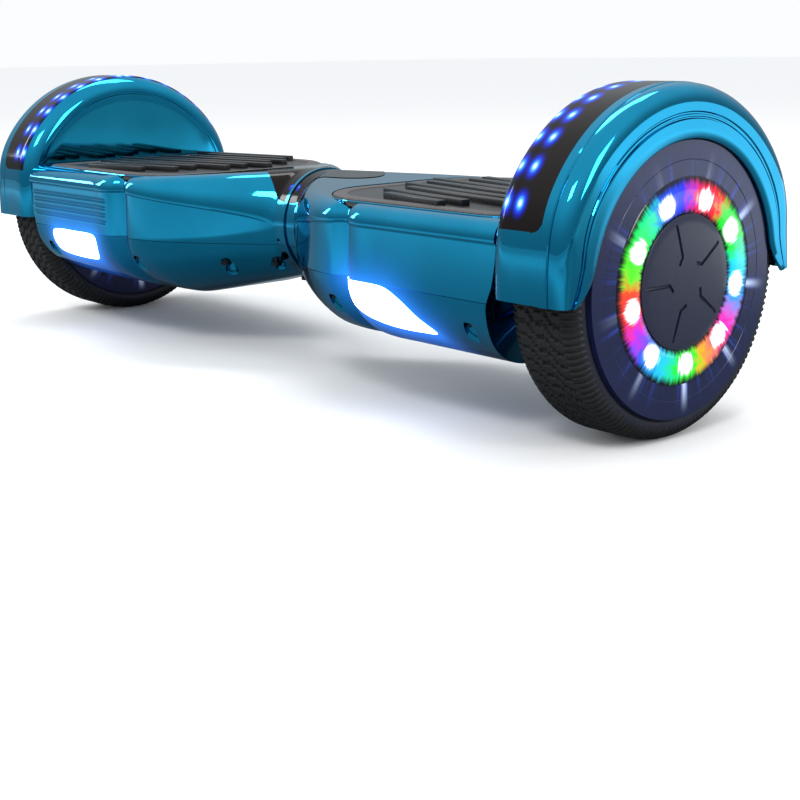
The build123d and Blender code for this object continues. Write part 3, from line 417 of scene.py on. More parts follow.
def sheet_of(name, rows, flip=False, values=None):
    """A surface through rows of points in millimetres, with named values at its points."""
    count, width = len(rows), len(rows[0])
    points = [tuple(c * MM for c in point) for row in rows for point in row]
    faces = [(r * width + c, r * width + c + 1, (r + 1) * width + c + 1, (r + 1) * width + c)
             for r in range(count - 1) for c in range(width - 1)]
    if flip:
        faces = [face[::-1] for face in faces]
    mesh = bpy.data.meshes.new(name)
    mesh.from_pydata(points, [], faces)
    for key, numbers in (values or {}).items():
        mesh.attributes.new(key, "FLOAT", "POINT").data.foreach_set("value",
                                                                    np.array(numbers, np.float32).ravel())
    mesh.update()
    piece = bpy.data.objects.new(name, mesh)
    bpy.context.scene.collection.objects.link(piece)
    return piece


def turned(name, profile, steps):
    """A ring turned about the axle from x and radius points."""
    mesh = bpy.data.meshes.new(name)
    points = [(x * MM, 0.0, (AXLE + r) * MM) for x, r in profile]
    mesh.from_pydata(points, [(i, i + 1) for i in range(len(points) - 1)], [])
    piece = bpy.data.objects.new(name, mesh)
    bpy.context.scene.collection.objects.link(piece)
    choose(piece)
    bpy.ops.object.mode_set(mode="EDIT")
    bpy.ops.mesh.select_all(action="SELECT")
    bpy.ops.mesh.spin(steps=steps, angle=2 * pi, center=(0, 0, AXLE * MM), axis=(1, 0, 0))
    bpy.ops.mesh.remove_doubles(threshold=0.00001)
    bpy.ops.mesh.normals_make_consistent(inside=False)
    bpy.ops.object.mode_set(mode="OBJECT")
    return piece


def smooth_through(points, x):
    """A smooth curve through points of x and y, read at x."""
    xs = np.array([p[0] for p in points], float)
    ys = np.array([p[1] for p in points], float)
    slopes = np.gradient(ys, xs)
    x = min(max(x, xs[0]), xs[-1])
    i = int(np.clip(np.searchsorted(xs, x) - 1, 0, len(xs) - 2))
    h = xs[i + 1] - xs[i]
    t = (x - xs[i]) / h
    return float((2 * t ** 3 - 3 * t ** 2 + 1) * ys[i] + (t ** 3 - 2 * t ** 2 + t) * h * slopes[i]
                 + (3 * t ** 2 - 2 * t ** 3) * ys[i + 1] + (t ** 3 - t ** 2) * h * slopes[i + 1])


# ---- The body's own curves: half width and section at a distance x from the middle
CRISP = [(98, 83.1), (104, 84.0), (108, 84.3), (111.5, 84.0), (114.5, 82.4), (117, 80.6), (119.5, 79.6),
         (122, 80.0),
         (124.5, 82.0), (127, 85.0), (130, 87.1), (134, 88.0), (150, 88.0), (250, 88.0)]


def half_width(x):
    share = min(1.0, max(0.0, (x - 12) / 101))
    belly = NECK_RADIUS + (84.5 - NECK_RADIUS) * sin(pi / 2 * share)
    return belly if x < 98 else smooth_through(CRISP, x)


def section(x):
    """Half width, top, bottom, shoulder radius, where the side starts to curve in, and that curve's run."""
    share = min(1.0, max(0.0, (x - 12) / 101))
    ease = share ** 0.6
    width = half_width(x)
    top = PIVOT + NECK_RADIUS + (DECK - PIVOT - NECK_RADIUS) * share ** 0.8
    bottom = PIVOT - NECK_RADIUS + (BELLY - PIVOT + NECK_RADIUS) * min(1.0, 1.3 * share)
    shoulder = NECK_RADIUS - 0.5 + (10.0 - NECK_RADIUS + 0.5) * ease
    low = PIVOT + (PARTING - PIVOT) * ease
    run = min(width - 0.5, NECK_RADIUS - 0.5 + (55.0 - NECK_RADIUS + 0.5) * ease)
    return width, top, bottom, shoulder, low, run


def side_at(x, z):
    """How far out the side stands at x and z, below the shoulder."""
    width, top, bottom, shoulder, low, run = section(x)
    drop = min(1.0, max(0.0, (low - z) / (low - bottom)))
    return width - run + run * sqrt(1 - drop ** 2)


# Fine grooves across the left half's panel, by height
PANEL_GROOVES = (99.5, 94.5, 89.5, 84.5)


def groove_depth(x, z, ridged):
    if not ridged or not 134 < x < 238:
        return 0.0
    return 0.3 * sum(np.exp(-((z - middle) / 0.75) ** 2) for middle in PANEL_GROOVES)


def upper_row(x, ridged=False):
    """Half of the upper shell's section from the middle of the top to the parting line, as y and z."""
    width, top, bottom, shoulder, low, run = section(x)
    step = min(1.0, max(0.0, (x - 16) / 30))
    points = [((width - shoulder) * k / 14, top) for k in range(14)]
    points += [(width - shoulder + shoulder * sin(pi / 2 * k / 12),
                top - shoulder + shoulder * cos(pi / 2 * k / 12))
               for k in range(13)]
    edge = top - shoulder
    points += [(width, edge - 0.5), (width - 0.3 * step, edge - 0.9), (width - 1.1 * step, edge - 1.1),
               (width - 1.2 * step, edge - 1.5)]
    end = min(PARTING + 0.15, edge - 2.0)
    for k in range(1, 41):
        z = edge - 1.5 + (end - edge + 1.5) * k / 40
        points.append((side_at(x, z) - 1.2 * step * (1 - 0.75 * k / 40) - groove_depth(x, z, ridged), z))
    return points


def lower_row(x):
    """Half of the lower shell's section from the parting line to the middle of the bottom, as y and z."""
    width, top, bottom, shoulder, low, run = section(x)
    first = PARTING - 0.15
    start = asin(min(1.0, max(0.0, (low - first) / (low - bottom))))
    points = []
    for k in range(29):
        a = start + (pi / 2 - start) * k / 28
        points.append((width - run + run * cos(a) - 0.3, low - (low - bottom) * sin(a)))
    points[0] = (points[0][0], first)
    return points + [((width - run) * (1 - k / 7), bottom) for k in range(1, 8)]


# The body's outer end curves in beside the tyre, lower down
END_CURVE = [(34, 220.0), (42, 227.0), (52, 232.0), (64, 235.5), (76, 237.0), (84, 240.0),
             (92, FENDER_IN + 0.6),
             (130, FENDER_IN + 0.6)]


def along(z, x):
    """x pulled in so that the last stations follow the end's curve."""
    start = 206.0
    if x <= start:
        return x
    return start + (smooth_through(END_CURVE, z) - start) * (x - start) / (FENDER_IN + 0.6 - start)


STATIONS = (list(np.linspace(NECK_START, 98, 50)) + list(np.linspace(99.5, 138, 27))
            + list(np.linspace(142, 204, 17)) + list(np.linspace(208, FENDER_IN + 0.6, 12)))


# ---- Headlights: a slanted leaf on the right half and a rounded block on the left
LEAF = [(119.5, 75.2), (132, 75.9), (146, 75.9), (160, 74.9), (172, 69.5), (182, 61.5), (191.5, 53.2),
        (178, 51.6),
        (162, 51.2), (147, 52.8), (134, 58.0), (125, 66.5)]
BLOCK = [(153.2, 60.5), (149.6, 68), (150.6, 73.6), (158, 75.4), (178, 75.4), (199, 75.2), (209.4, 73.8),
         (212, 69),
         (211.4, 62.5), (207, 58), (194, 56), (174, 55.4), (159, 56.4)]


def round_outline(corners, count):
    """Points evenly along a smooth closed curve through the corners."""
    found, total = [], len(corners)
    for n in range(count):
        place = n * total / count
        i, f = int(place), place - int(place)
        p0, p1, p2, p3 = [np.array(corners[(i + k) % total], float) for k in (-1, 0, 1, 2)]
        found.append(0.5 * (2 * p1 + (p2 - p0) * f + (2 * p0 - 5 * p1 + 4 * p2 - p3) * f ** 2
                            + (3 * p1 - p0 - 3 * p2 + p3) * f ** 3))
    return np.array(found)


LAMPS = {"right": round_outline(LEAF, 96), "left": round_outline(BLOCK, 96)}


def painted_halo_at(side, x, y, z):
    """How strongly the headlight's light is painted over the shell at a point, as a glow."""
    if y > -20 or not 95 < x < 235:
        return 0.0
    near = np.sqrt(((LAMPS[side] - np.array([x, z])) ** 2).sum(axis=1)).min()
    return float(np.exp(-near / 7.0))


def thicken(piece, wall):
    """A sheet becomes a closed wall, on its inner side."""
    modify(piece, "SOLIDIFY", thickness=wall * MM, offset=-1.0, use_even_offset=False)


def body_sheet(side, upper):
    rows, painted_halo = [], []
    for x in STATIONS:
        half = upper_row(x, side == "left") if upper else lower_row(x)
        if upper:
            line = [(y, z) for y, z in reversed(half)] + [(-y, z) for y, z in half[1:]]
        else:
            line = [(-y, z) for y, z in half] + [(y, z) for y, z in reversed(half[:-1])]
        rows.append([(along(z, x), y, z) for y, z in line])
        # Painted glow: how strongly the headlights' light is painted on at each point
        painted_halo.append([painted_halo_at(side, x, y, z) for y, z in line])
    # The end wall closes in towards the axle
    for share in (0.97, 0.8, 0.5, 0.2):
        last = rows[len(STATIONS) - 1]
        rows.append([(px - 1.0 * (1 - share), py * share, PARTING + (pz - PARTING) * share) for px, py,
                     pz in last])
        painted_halo.append([0.0] * len(last))
    return sheet_of("body_sheet", rows, values={"painted_halo": painted_halo})


# ---- The fender over the wheel
def crest(turn):
    """The fender's radius at an angle from the front: round over the top, upright at the sides."""
    side = 93.0 / max(abs(cos(turn)), 0.02)
    hardness = 26.0
    return (CREST ** -hardness + side ** -hardness) ** (-1 / hardness)


def arch(turn):
    """The opening's radius: round over the tyre, then sweeping out to the lower edge at each foot."""
    height = 84.0 * sin(turn) + 2.5
    sweep = 1 - min(1.0, max(0.0, height / 24.0))
    return 71.4 + 21.2 * (1 - sqrt(1 - sweep ** 2))


def fender_profile(turn):
    """x and radius across the fender, from beside the axle over the crest to the opening's edge."""
    top = crest(turn)
    foot = min(1.0, max(0.0, (90.0 * sin(turn) + 2.5) / 22.0))
    points = [(FENDER_IN, r) for r in (12.0, 26.0, 42.0, 56.0, 68.0, 78.0)]
    inner = top - 12.0
    points += [(FENDER_IN, inner - 2.4), (FENDER_IN + 0.1, inner - 1.6), (FENDER_IN + 0.9, inner - 1.1),
               (FENDER_IN + 0.9, inner - 0.4), (FENDER_IN + 0.1, inner + 0.2)]
    points += [(FENDER_IN + 11 * (1 - cos(radians(a))), inner + 12 * sin(radians(a)))
               for a in (8, 16, 25, 35, 45, 56, 67, 78)]
    points += [(x, top) for x in (252, 258, 264, 270, 275.6)]
    points += [(276.0, top + 0.35), (280.8, top + 0.35), (281.2, top - 0.25), (281.9, top - 0.25),
               (282.3, top)]
    # Near the foot the opening's edge runs out through the rounded shoulder
    drop = 4.5 + 4.5 * foot
    outer, edge = top - drop, arch(turn)
    last = 90.0 if edge < outer - 0.5 else degrees(acos(max(-1.0,
                                                            min(1.0,
                                                                1 - (top - edge - 0.3) / (drop + 0.01)))))
    points += [(283 + 8.2 * sin(radians(last * b)), top - drop * (1 - cos(radians(last * b))))
               for b in (0.13, 0.27, 0.4, 0.53, 0.67, 0.8, 0.91, 1.0)]
    rim_x, rim_r = points[-1]
    span = max(0.3, rim_r - edge)
    face = min(1.0, span / 6.0) * (1.0 if last > 89 else 0.0)
    for share, x in ((0.93, 0.0), (0.74, 0.0), (0.70, -0.7), (0.665, -0.7), (0.64, 0.1), (0.60, 0.1),
                     (0.575, -0.5), (0.55, -0.5), (0.52, 0.8), (0.3, 0.8), (0.05, 0.8)):
        points.append((rim_x + x * face, rim_r - span * (1 - share)))
    end_x = points[-1][0]
    return points + [(end_x - 0.4, rim_r - span - 0.15), (end_x - 1.2, rim_r - span - 0.3)]


def on_axle(x, r, turn):
    return (x, -r * cos(turn), AXLE + r * sin(turn))


def fender_sheet():
    rows = []
    for k in range(181):
        t = k / 180
        line = []
        middle = pi * t
        for x, r in fender_profile(middle):
            first = asin(max(-0.3, -2.5 / max(r, 9.0)))
            turn = first + (pi - 2 * first) * t
            line.append(on_axle(x, r, turn))
        rows.append(line)
    return sheet_of("fender_sheet", rows)


# ---- Foot pad outline: a rectangle with large inner and small outer corners
PAD_IN, PAD_OUT, PAD_SIDE = 72.0, 235.0, 77.0


def pad_outline(grow):
    points = []
    for cx, cy, r, start in ((PAD_OUT - 12, -PAD_SIDE + 12, 12, -90), (PAD_OUT - 12, PAD_SIDE - 12, 12, 0),
                             (PAD_IN + 50, PAD_SIDE - 50, 50, 90), (PAD_IN + 50, -PAD_SIDE + 50, 50, 180)):
        steps = 8 if r < 20 else 20
        points += [(cx + (r + grow) * cos(radians(start + 90 * k / steps)),
                    cy + (r + grow) * sin(radians(start + 90 * k / steps))) for k in range(steps + 1)]
    return points


def prism(name, outline, low, high):
    """A closed block with this outline, drawn on the ground plane."""
    choose(NODES["neck_ring"])
    bpy.ops.mesh.primitive_circle_add(vertices=len(outline), radius=1.0, fill_type="NGON", location=(0, 0, 0))
    piece = bpy.context.object
    for vertex, (x, y) in zip(piece.data.vertices, outline):
        vertex.co = (x * MM, y * MM, low * MM)
    bpy.ops.object.mode_set(mode="EDIT")
    bpy.ops.mesh.select_all(action="SELECT")
    bpy.ops.mesh.extrude_region_move(TRANSFORM_OT_translate={"value": (0, 0, (high - low) * MM)})
    bpy.ops.object.mode_set(mode="OBJECT")
    piece.name = name
    outward(piece)
    return piece


def cut(piece, tool):
    modify(piece, "BOOLEAN", object=tool, operation="DIFFERENCE", solver="EXACT")
    bpy.data.objects.remove(tool)


def band_round(outline, height, radius, sides=8):
    """A thin round bead that follows a closed outline."""
    rows, count = [], len(outline)
    for i in range(count + 1):
        x, y = outline[i % count]
        ax, ay = outline[i % count - 1]
        bx, by = outline[(i + 1) % count]
        length = sqrt((bx - ax) ** 2 + (by - ay) ** 2) or 1.0
        nx, ny = (by - ay) / length, -(bx - ax) / length
        rows.append([(x + nx * radius * cos(2 * pi * k / sides), y + ny * radius * cos(2 * pi * k / sides),
                      height + radius * sin(2 * pi * k / sides)) for k in range(sides + 1)])
    piece = sheet_of("bead", rows)
    outward(piece)
    return piece


# Screw pockets in the belly pan: x, y and the top of each
POCKET_RADIUS, POCKET_TOP = 4.2, 64.0
POCKETS = [(x, side_at(x, 57.0) + 0.3) for x in (221.0, 107.0, 44.0)] + [(17.0, side_at(17.0, 62.0) - 0.5)]


def pocket_tools(radius, top):
    tools = []
    for x, y in POCKETS:
        for way in (1, -1):
            choose(NODES["neck_ring"])
            bpy.ops.mesh.primitive_cylinder_add(vertices=24, radius=radius * MM, depth=(top - 20) * MM,
                                                location=(x * MM, way * y * MM, (top + 20) / 2 * MM))
            tools.append(bpy.context.object)
    tool = join(tools)
    choose(tool)
    bpy.ops.object.transform_apply(location=True, rotation=True, scale=True)
    return tool


def upper_shell(side):
    body = body_sheet(side, True)
    thicken(body, WALL)
    cut(body, prism("pad_opening", pad_outline(0.6), 110.0, 125.0))
    fender = fender_sheet()
    outward(fender)
    thicken(fender, WALL)
    lip = band_round(pad_outline(1.3), DECK + 0.1, 0.55)
    return join([body, fender, lip])


def lower_shell(side):
    body = body_sheet(side, False)
    thicken(body, WALL)
    cut(body, pocket_tools(POCKET_RADIUS, POCKET_TOP))
    liner = pocket_tools(POCKET_RADIUS + 1.2, POCKET_TOP + 1.4)
    cut(liner, pocket_tools(POCKET_RADIUS, POCKET_TOP))
    rows = []
    for x in [s for s in STATIONS if s < 240]:
        half = [(max(0.0, y - 1.2), z + 1.2) for y, z in lower_row(x)]
        line = [(-y, z) for y, z in half] + [(y, z) for y, z in reversed(half[:-1])]
        rows.append([(along(z, x) - 1.0, y, z) for y, z in line])
    room = sheet_of("room", rows)
    choose(room)
    bpy.ops.object.mode_set(mode="EDIT")
    bpy.ops.mesh.select_all(action="SELECT")
    bpy.ops.mesh.fill_holes(sides=0)
    bpy.ops.mesh.normals_make_consistent(inside=False)
    bpy.ops.object.mode_set(mode="OBJECT")
    modify(liner, "BOOLEAN", object=room, operation="INTERSECT", solver="EXACT")
    bpy.data.objects.remove(room)
    return join([body, liner])


def lens(side):
    """A lens that swells a little from the shell, as rings of points from its middle to its edge."""
    outline = LAMPS[side]
    centre = outline.mean(axis=0)
    rows, edge = [], []
    for s in (0.02, 0.2, 0.4, 0.58, 0.74, 0.86, 0.94, 0.98, 1.0):
        ring = []
        for p in list(outline) + [outline[0]]:
            x, z = centre + (p - centre) * s
            proud = 0.9 * sqrt(max(0.0, 1 - s ** 4)) + 0.05
            ring.append((x, -(side_at(x, z) - 0.3 + proud), z))
        rows.append(ring)
        edge.append([max(0.0, (s - 0.8) / 0.2) ** 2] * len(ring))
    piece = sheet_of("lens", rows, values={"edge": edge})
    choose(piece)
    bpy.ops.object.mode_set(mode="EDIT")
    bpy.ops.mesh.select_all(action="SELECT")
    bpy.ops.mesh.remove_doubles(threshold=0.00002)
    bpy.ops.mesh.select_all(action="DESELECT")
    bpy.ops.object.mode_set(mode="OBJECT")
    hub_points = [v.index for v in piece.data.vertices
                  if abs(v.co.x / MM - centre[0]) < 1.2 and abs(v.co.z / MM - centre[1]) < 1.2]
    for index in hub_points:
        piece.data.vertices[index].select = True
    bpy.ops.object.mode_set(mode="EDIT")
    bpy.ops.mesh.merge(type="CENTER")
    bpy.ops.mesh.select_all(action="SELECT")
    bpy.ops.mesh.normals_make_consistent(inside=False)
    bpy.ops.object.mode_set(mode="OBJECT")
    if sum(face.normal.y for face in piece.data.polygons) > 0:
        piece.data.flip_normals()
    thicken(piece, 1.6)
    return piece


# The indicator window's reach along the board and across it, and where its two lamps stand
WINDOW_END, WINDOW_HALF = 47.0, 31.0
INDICATOR_X, INDICATOR_Y = 4.0, 24.7


def window():
    """Half of the oval indicator window, on the upper shell over the pivot."""
    rows = []
    for i in range(33):
        x = NECK_START + (WINDOW_END - NECK_START) * sin(pi / 2 * i / 32)
        reach = WINDOW_HALF * sqrt(max(0.0, 1 - ((x - NECK_START) / (WINDOW_END
                                                                     + 0.2 - NECK_START)) ** 2)) + 0.02
        half = upper_row(x)
        ys, zs = [p[0] for p in half[:27]], [p[1] for p in half[:27]]
        line = []
        for j in range(33):
            y = reach * sin(pi / 2 * (1 - j / 16))
            z = float(np.interp(abs(y), ys, zs))
            lean = min(0.9, abs(y) / NECK_RADIUS) * max(0.0, 1 - x / 90)
            line.append((x, y + 0.35 * lean * (1 if y > 0 else -1), z + 0.35 * sqrt(1 - lean ** 2)))
        rows.append(line)
    lamps = [[np.exp(-((x - INDICATOR_X) ** 2 + (abs(y) - INDICATOR_Y) ** 2) / 3.0) for x, y, z in row]
             for row in rows]
    piece = sheet_of("window", rows, values={"lamp": lamps})
    thicken(piece, 1.2)
    return piece


DIODES = (27, 38.3, 48.7, 58.3, 67.9, 77.6, 88)


def light_strip():
    """The smoked strip over the fender's inner shoulder, with two rows of diodes."""
    first = asin((115.0 - AXLE) / CREST)
    rows, lamp = [], []
    places = [248.0 + 28.0 * k / 28 for k in range(29)]
    for k in range(261):
        turn = first + (pi - 2 * first) * k / 260
        near = min(turn, pi - turn) - first
        line, glow = [], []
        for x in places:
            inset = 0.0
            corner = 7.0 - (near * CREST)
            if corner > 0 and x > 269:
                inset = max(0.0, (x - 269) - sqrt(max(0.0, 49 - corner ** 2)))
            top = crest(turn)
            if x < FENDER_IN + 11:
                r = top - 12 + 12 * sin(acos(max(-1.0, min(1.0, 1 - (x - FENDER_IN) / 11))))
                lean = (FENDER_IN + 11 - x) / 11
            else:
                r, lean = top, 0.0
            line.append(on_axle(x - inset - 0.4 * lean, r + 0.4 * (1 - 0.5 * lean), turn))
            value = 0.0
            for angle in DIODES:
                for mirror in (angle, 180 - angle):
                    gap = (turn - radians(mirror)) * CREST
                    for row_x in (250.0, 259.0):
                        value = max(value, float(np.exp(-((x - row_x) / 4.3) ** 2 - (gap / 6.6) ** 2)))
            glow.append(value)
        rows.append(line)
        lamp.append(glow)
    piece = sheet_of("light_strip", rows, values={"lamp": lamp})
    thicken(piece, 1.0)
    return piece


def foot_pad():
    """The rubber mat: a grained border, a sunk field and slanted ribs."""
    mat = prism("mat", pad_outline(0.0), 114.2, 118.0)
    edit_faces(mat, lambda centre, normal: normal.z > 0.9)
    bpy.ops.mesh.inset(thickness=0.0008, depth=0.0006)
    bpy.ops.mesh.inset(thickness=0.0075, depth=0)
    bpy.ops.mesh.inset(thickness=0.0005, depth=-0.0006)
    bpy.ops.object.mode_set(mode="OBJECT")
    mat.data.materials.append(PAD_BORDER)
    mat.data.materials.append(PAD)
    for face in mat.data.polygons:
        face.material_index = 1 if len(face.vertices) > 12 and face.normal.z > 0.9 else 0
    ribs = []
    corners = pad_outline(-9.0)
    for number in range(10):
        y = (number - 4.5) * 14.2
        stagger = 10.0 * (number % 2)
        centre = np.array([PAD_OUT - 74.0 - stagger, y])
        way = np.array([cos(radians(-10)), sin(radians(-10))])
        inside = []
        for s in np.linspace(-85, 85, 341):
            p = centre + way * s
            if inside_outline(corners, p):
                inside.append(s)
        if not inside or abs(inside[-1] - inside[0]) < 20:
            continue
        start = max(inside[0], -(70 - 0.6 * abs(y)))
        end = min(inside[-1], 70 - 0.6 * abs(y)) if abs(y) < 60 else inside[-1]
        middle = centre + way * (start + end) / 2
        choose(NODES["neck_ring"])
        bpy.ops.mesh.primitive_cube_add(size=1.0, location=(middle[0] * MM, middle[1] * MM, 118.8 * MM),
                                        rotation=(0, 0, radians(-10)), scale=((end - start) * MM, 5.6 * MM,
                                                                              5.2 * MM))
        rib = bpy.context.object
        bpy.ops.object.transform_apply(location=True, rotation=True, scale=True)
        modify(rib, "BEVEL", width=0.6 * MM, segments=2, limit_method="ANGLE")
        ribs.append(rib)
    for rib in ribs:
        rib.data.materials.append(PAD_BORDER)
        rib.data.materials.append(PAD)
        for face in rib.data.polygons:
            face.material_index = 1
    return join([mat] + ribs)


def inside_outline(corners, p):
    """Is a point inside a closed outline?"""
    inside, j = False, len(corners) - 1
    for i in range(len(corners)):
        xi, yi = corners[i]
        xj, yj = corners[j]
        if (yi > p[1]) != (yj > p[1]) and p[0] < (xj - xi) * (p[1] - yi) / (yj - yi) + xi:
            inside = not inside
        j = i
    return inside


def tyre():
    """A solid tyre: rows of short slots across the tread, toothed shoulders and smooth walls."""
    middle = (TYRE_IN + TYRE_OUT) / 2
    half = (TYRE_OUT - TYRE_IN) / 2
    wall = [(-half + 1.4, 70.6), (-half + 0.5, 71.6), (-half, 73.0), (-half + 0.05, 74.0)]
    shoulder = [(-half + 9 - 9 * cos(radians(a)), TYRE_RADIUS - 8.5 + 8.5 * sin(radians(a)))
                for a in (6, 14, 22, 30, 38, 46, 55, 64, 73, 82)]
    flat = [(float(s), TYRE_RADIUS) for s in np.linspace(-half + 9, half - 9, 27)]
    profile = wall + shoulder + flat + [(-s, r) for s, r in reversed(shoulder)] + [(-s, r) for s,
                                                                                   r in reversed(wall)]
    profile += [(half - 3.0, 67.5), (-half + 3.0, 67.5), profile[0]]
    steps, rows = 864, []
    for k in range(steps + 1):
        turn = 2 * pi * (k % steps) / steps
        line = []
        for s, r in profile:
            depth = tread_depth(s, turn) if r > 75.0 else 0.0
            line.append(on_axle(middle + s, r - depth, turn))
        rows.append(line)
    piece = sheet_of("tyre", rows)
    outward(piece)
    piece.data.materials.append(TYRE)
    piece.data.materials.append(TYRE_WALL)
    for face in piece.data.polygons:
        r = sqrt(face.center.y ** 2 + (face.center.z - AXLE * MM) ** 2) / MM
        face.material_index = 0 if r > 76.6 else 1
    return piece


def tread_depth(s, turn):
    """How deep the tread is cut at a distance across it and an angle round it."""
    pitch = 2 * pi / 72
    for row, centre in enumerate((-11.2, -5.6, 0.0, 5.6, 11.2)):
        off = s - centre
        if abs(off) < 2.5:
            wave = 0.16 * pitch * sin(off * 1.2) + off * 0.10 * pitch * (1 if row % 2 else -1)
            place = ((turn + wave) / pitch + 0.5 * (row % 2)) % 1.0
            if place < 0.36:
                return 1.3
    if abs(s) > 14.3:
        place = (turn / pitch + 0.25) % 0.5
        return 1.2 if place < 0.2 else 0.0
    return 0.0


def rim_ring():
    """The hub's visible face between the lit ring and the tyre: a land, a groove and a rounded edge."""
    x = HALF_LENGTH - 2.2
    profile = [(x - 3.0, 52.6), (x - 0.3, 52.6), (x, 52.9), (x, 57.6), (x - 1.4, 58.1), (x - 1.4, 60.2),
               (x + 0.1, 60.7),
               (x + 0.35, 61.1), (x + 0.1, 61.6), (x, 62.2), (x - 0.2, 66.5), (x - 0.9, 69.2), (x - 2.2,
                                                                                                70.6),
               (x - 4.0, 70.6), (x - 3.0, 52.6)]
    return turned("rim_ring", profile, 128)


def lit_cover():
    x = HALF_LENGTH - 1.6
    profile = [(x - 1.8, 34.6), (x - 0.4, 34.8), (x, 35.6), (x + 0.5, 39.0), (x + 0.6, 42.0),
               (x + 0.5, 46.0), (x, 52.0),
               (x - 0.6, 52.8), (x - 1.8, 53.0), (x - 1.8, 34.6)]
    return turned("lit_cover", profile, 128)


def centre_cover():
    """A shallow domed cap with five hooked slits."""
    x = HALF_LENGTH - 1.6
    profile = [(x + 1.2, 0.01), (x + 1.2, 12.0), (x + 1.05, 22.0), (x + 0.8, 29.5), (x + 0.45, 33.4),
               (x, 34.4),
               (x - 1.8, 34.5), (x - 1.8, 0.01)]
    cap = turned("centre_cover", profile, 96)
    outward(cap)
    cap.data.materials.append(SLATE)
    tools = []
    for k in range(5):
        angle = radians(36 + 72 * k)
        for radial, across, length, width, tilt in ((22.5, 0.0, 17.5, 1.9, 0.0),
                                                    (12.6, 1.6, 5.6, 1.9, -48.0)):
            y = radial * cos(angle) - across * sin(angle)
            z = radial * sin(angle) + across * cos(angle)
            choose(NODES["neck_ring"])
            bpy.ops.mesh.primitive_cube_add(size=1.0, location=((x + 0.9) * MM, y * MM, (AXLE + z) * MM),
                                            rotation=(angle + radians(tilt), 0, 0),
                                            scale=(2.6 * MM, length * MM, width * MM))
            tool = bpy.context.object
            bpy.ops.object.transform_apply(location=True, rotation=True, scale=True)
            modify(tool, "BEVEL", width=0.7 * MM, segments=2, limit_method="ANGLE")
            # The slits' inner faces take the painted shade
            tool.data.materials.append(SLIT_SHADE)
            tools.append(tool)
    for tool in tools:
        cut(cap, tool)
    return cap


# ---- Build the two halves
for side in ("right", "left"):
    half_body, wheel_body, pad_body = f"{side}_half", f"{side}_wheel", f"{side}_pad"
    made = [
        (upper_shell(side), "shell_top", half_body, [f"{side}_upper_shell"], [PLATED], 32, "shell_chrome"),
        (lower_shell(side), "belly_pan", half_body, [f"{side}_lower_shell"], [PLATED], 32, "shell_chrome"),
        (lens(side), "headlight", half_body, [f"{side}_headlight_lens"], [LENS], 50, "headlight"),
        (window(), "indicator_oval", half_body, [f"{side}_indicator_window"], [STRIP], 40, "smoked_cover"),
        (light_strip(), "lamp_strip", half_body, [f"{side}_fender_light_cover"], [STRIP], 40, "smoked_cover"),
        (foot_pad(), "foot_mat", pad_body, [f"{side}_foot_pad"], [PAD_BORDER, PAD], 30, "pad_rubber"),
        (tyre(), "solid_tyre", wheel_body, [f"{side}_tyre"], [TYRE, TYRE_WALL], 30, "tyre_rubber"),
        (rim_ring(), "rim_face", wheel_body, [], [RIM], 28, "hub_black"),
        (lit_cover(), "lit_ring", wheel_body, [f"{side}_wheel_led_cover"], [RING_LIGHT], 40, "led_cover"),
        (centre_cover(), "hub_cap", wheel_body, [f"{side}_wheel_centre_cover"], [SLATE, SLIT_SHADE], 30,
         "hub_black"),
    ]
    for piece, name, body, nodes, finishes, angle, slot_name in made:
        indices = [face.material_index for face in piece.data.polygons]
        settle(piece, f"{side}_{name}", *finishes)
        for face, index in zip(piece.data.polygons, indices):
            face.material_index = min(index, len(finishes) - 1)
        if side == "left":
            piece.data.transform(MIRROR)
            piece.data.flip_normals()
        smooth(piece, angle)
        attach(piece, body)
        if nodes:
            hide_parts(*nodes)


# ---- Floor, light and camera
bpy.context.scene.view_settings.view_transform = "Standard"
choose(NODES["neck_ring"])
bpy.ops.mesh.primitive_plane_add(size=40.0, location=(0, 0, 0))
floor = bpy.context.object
floor.name = "studio_floor"
# Matt painted floor, near white. Seen in the plating it carries painted shade, dim close to the board and
# grey further off, and a painted pool of a window's cool light, drawn as emission, far behind the right wheel
floor_paint, floor_tree, floor_shader, floor_place = grained(
    "matt_painted_floor", "#f7f7f7", "#fdfdfd", 0.75, 0.0, 60.0, 0.05)[:4]
floor_path = add_node(floor_tree, "ShaderNodeLightPath", {}, {})
floor_parts = add_node(floor_tree, "ShaderNodeSeparateXYZ", {}, {0: floor_place})
# Painted shade in reflections: the floor is dim close to the board and lighter further off
floor_front = add_node(floor_tree, RANGE, SOFT,
                       {"Value": floor_parts.outputs["Y"], "From Min": -0.33, "From Max": -1.0})
floor_behind = add_node(floor_tree, RANGE, SOFT,
                        {"Value": floor_parts.outputs["Y"], "From Min": 0.3, "From Max": 0.8})
# Painted light: a window's cool pool of light far behind the right wheel, seen only in reflections, as
# emission
floor_slant = add_node(floor_tree, MATH, TIMES_PLUS,
                       {0: floor_parts.outputs["X"], 1: -0.85, 2: floor_parts.outputs["Y"]})
floor_edge = add_node(floor_tree, RANGE, SOFT,
                      {"Value": floor_slant.outputs[0], "From Min": -0.12, "From Max": 0.1})
floor_right = add_node(floor_tree, RANGE, SOFT,
                       {"Value": floor_parts.outputs["X"], "From Min": 0.4, "From Max": 0.6})
floor_painted_window_light = add_node(floor_tree, MATH, TIMES,
                        {0: floor_edge.outputs[0], 1: floor_right.outputs[0]})
floor_painted_shade = add_node(floor_tree, MIX, COLOURS,
                      {0: floor_front.outputs[0], 6: linear("#68737a"), 7: linear("#b4c0c6")})
floor_seen = add_node(floor_tree, MIX, COLOURS,
                      {0: floor_behind.outputs[0], 6: floor_painted_shade.outputs[2], 7: linear("#b2b4b3")})
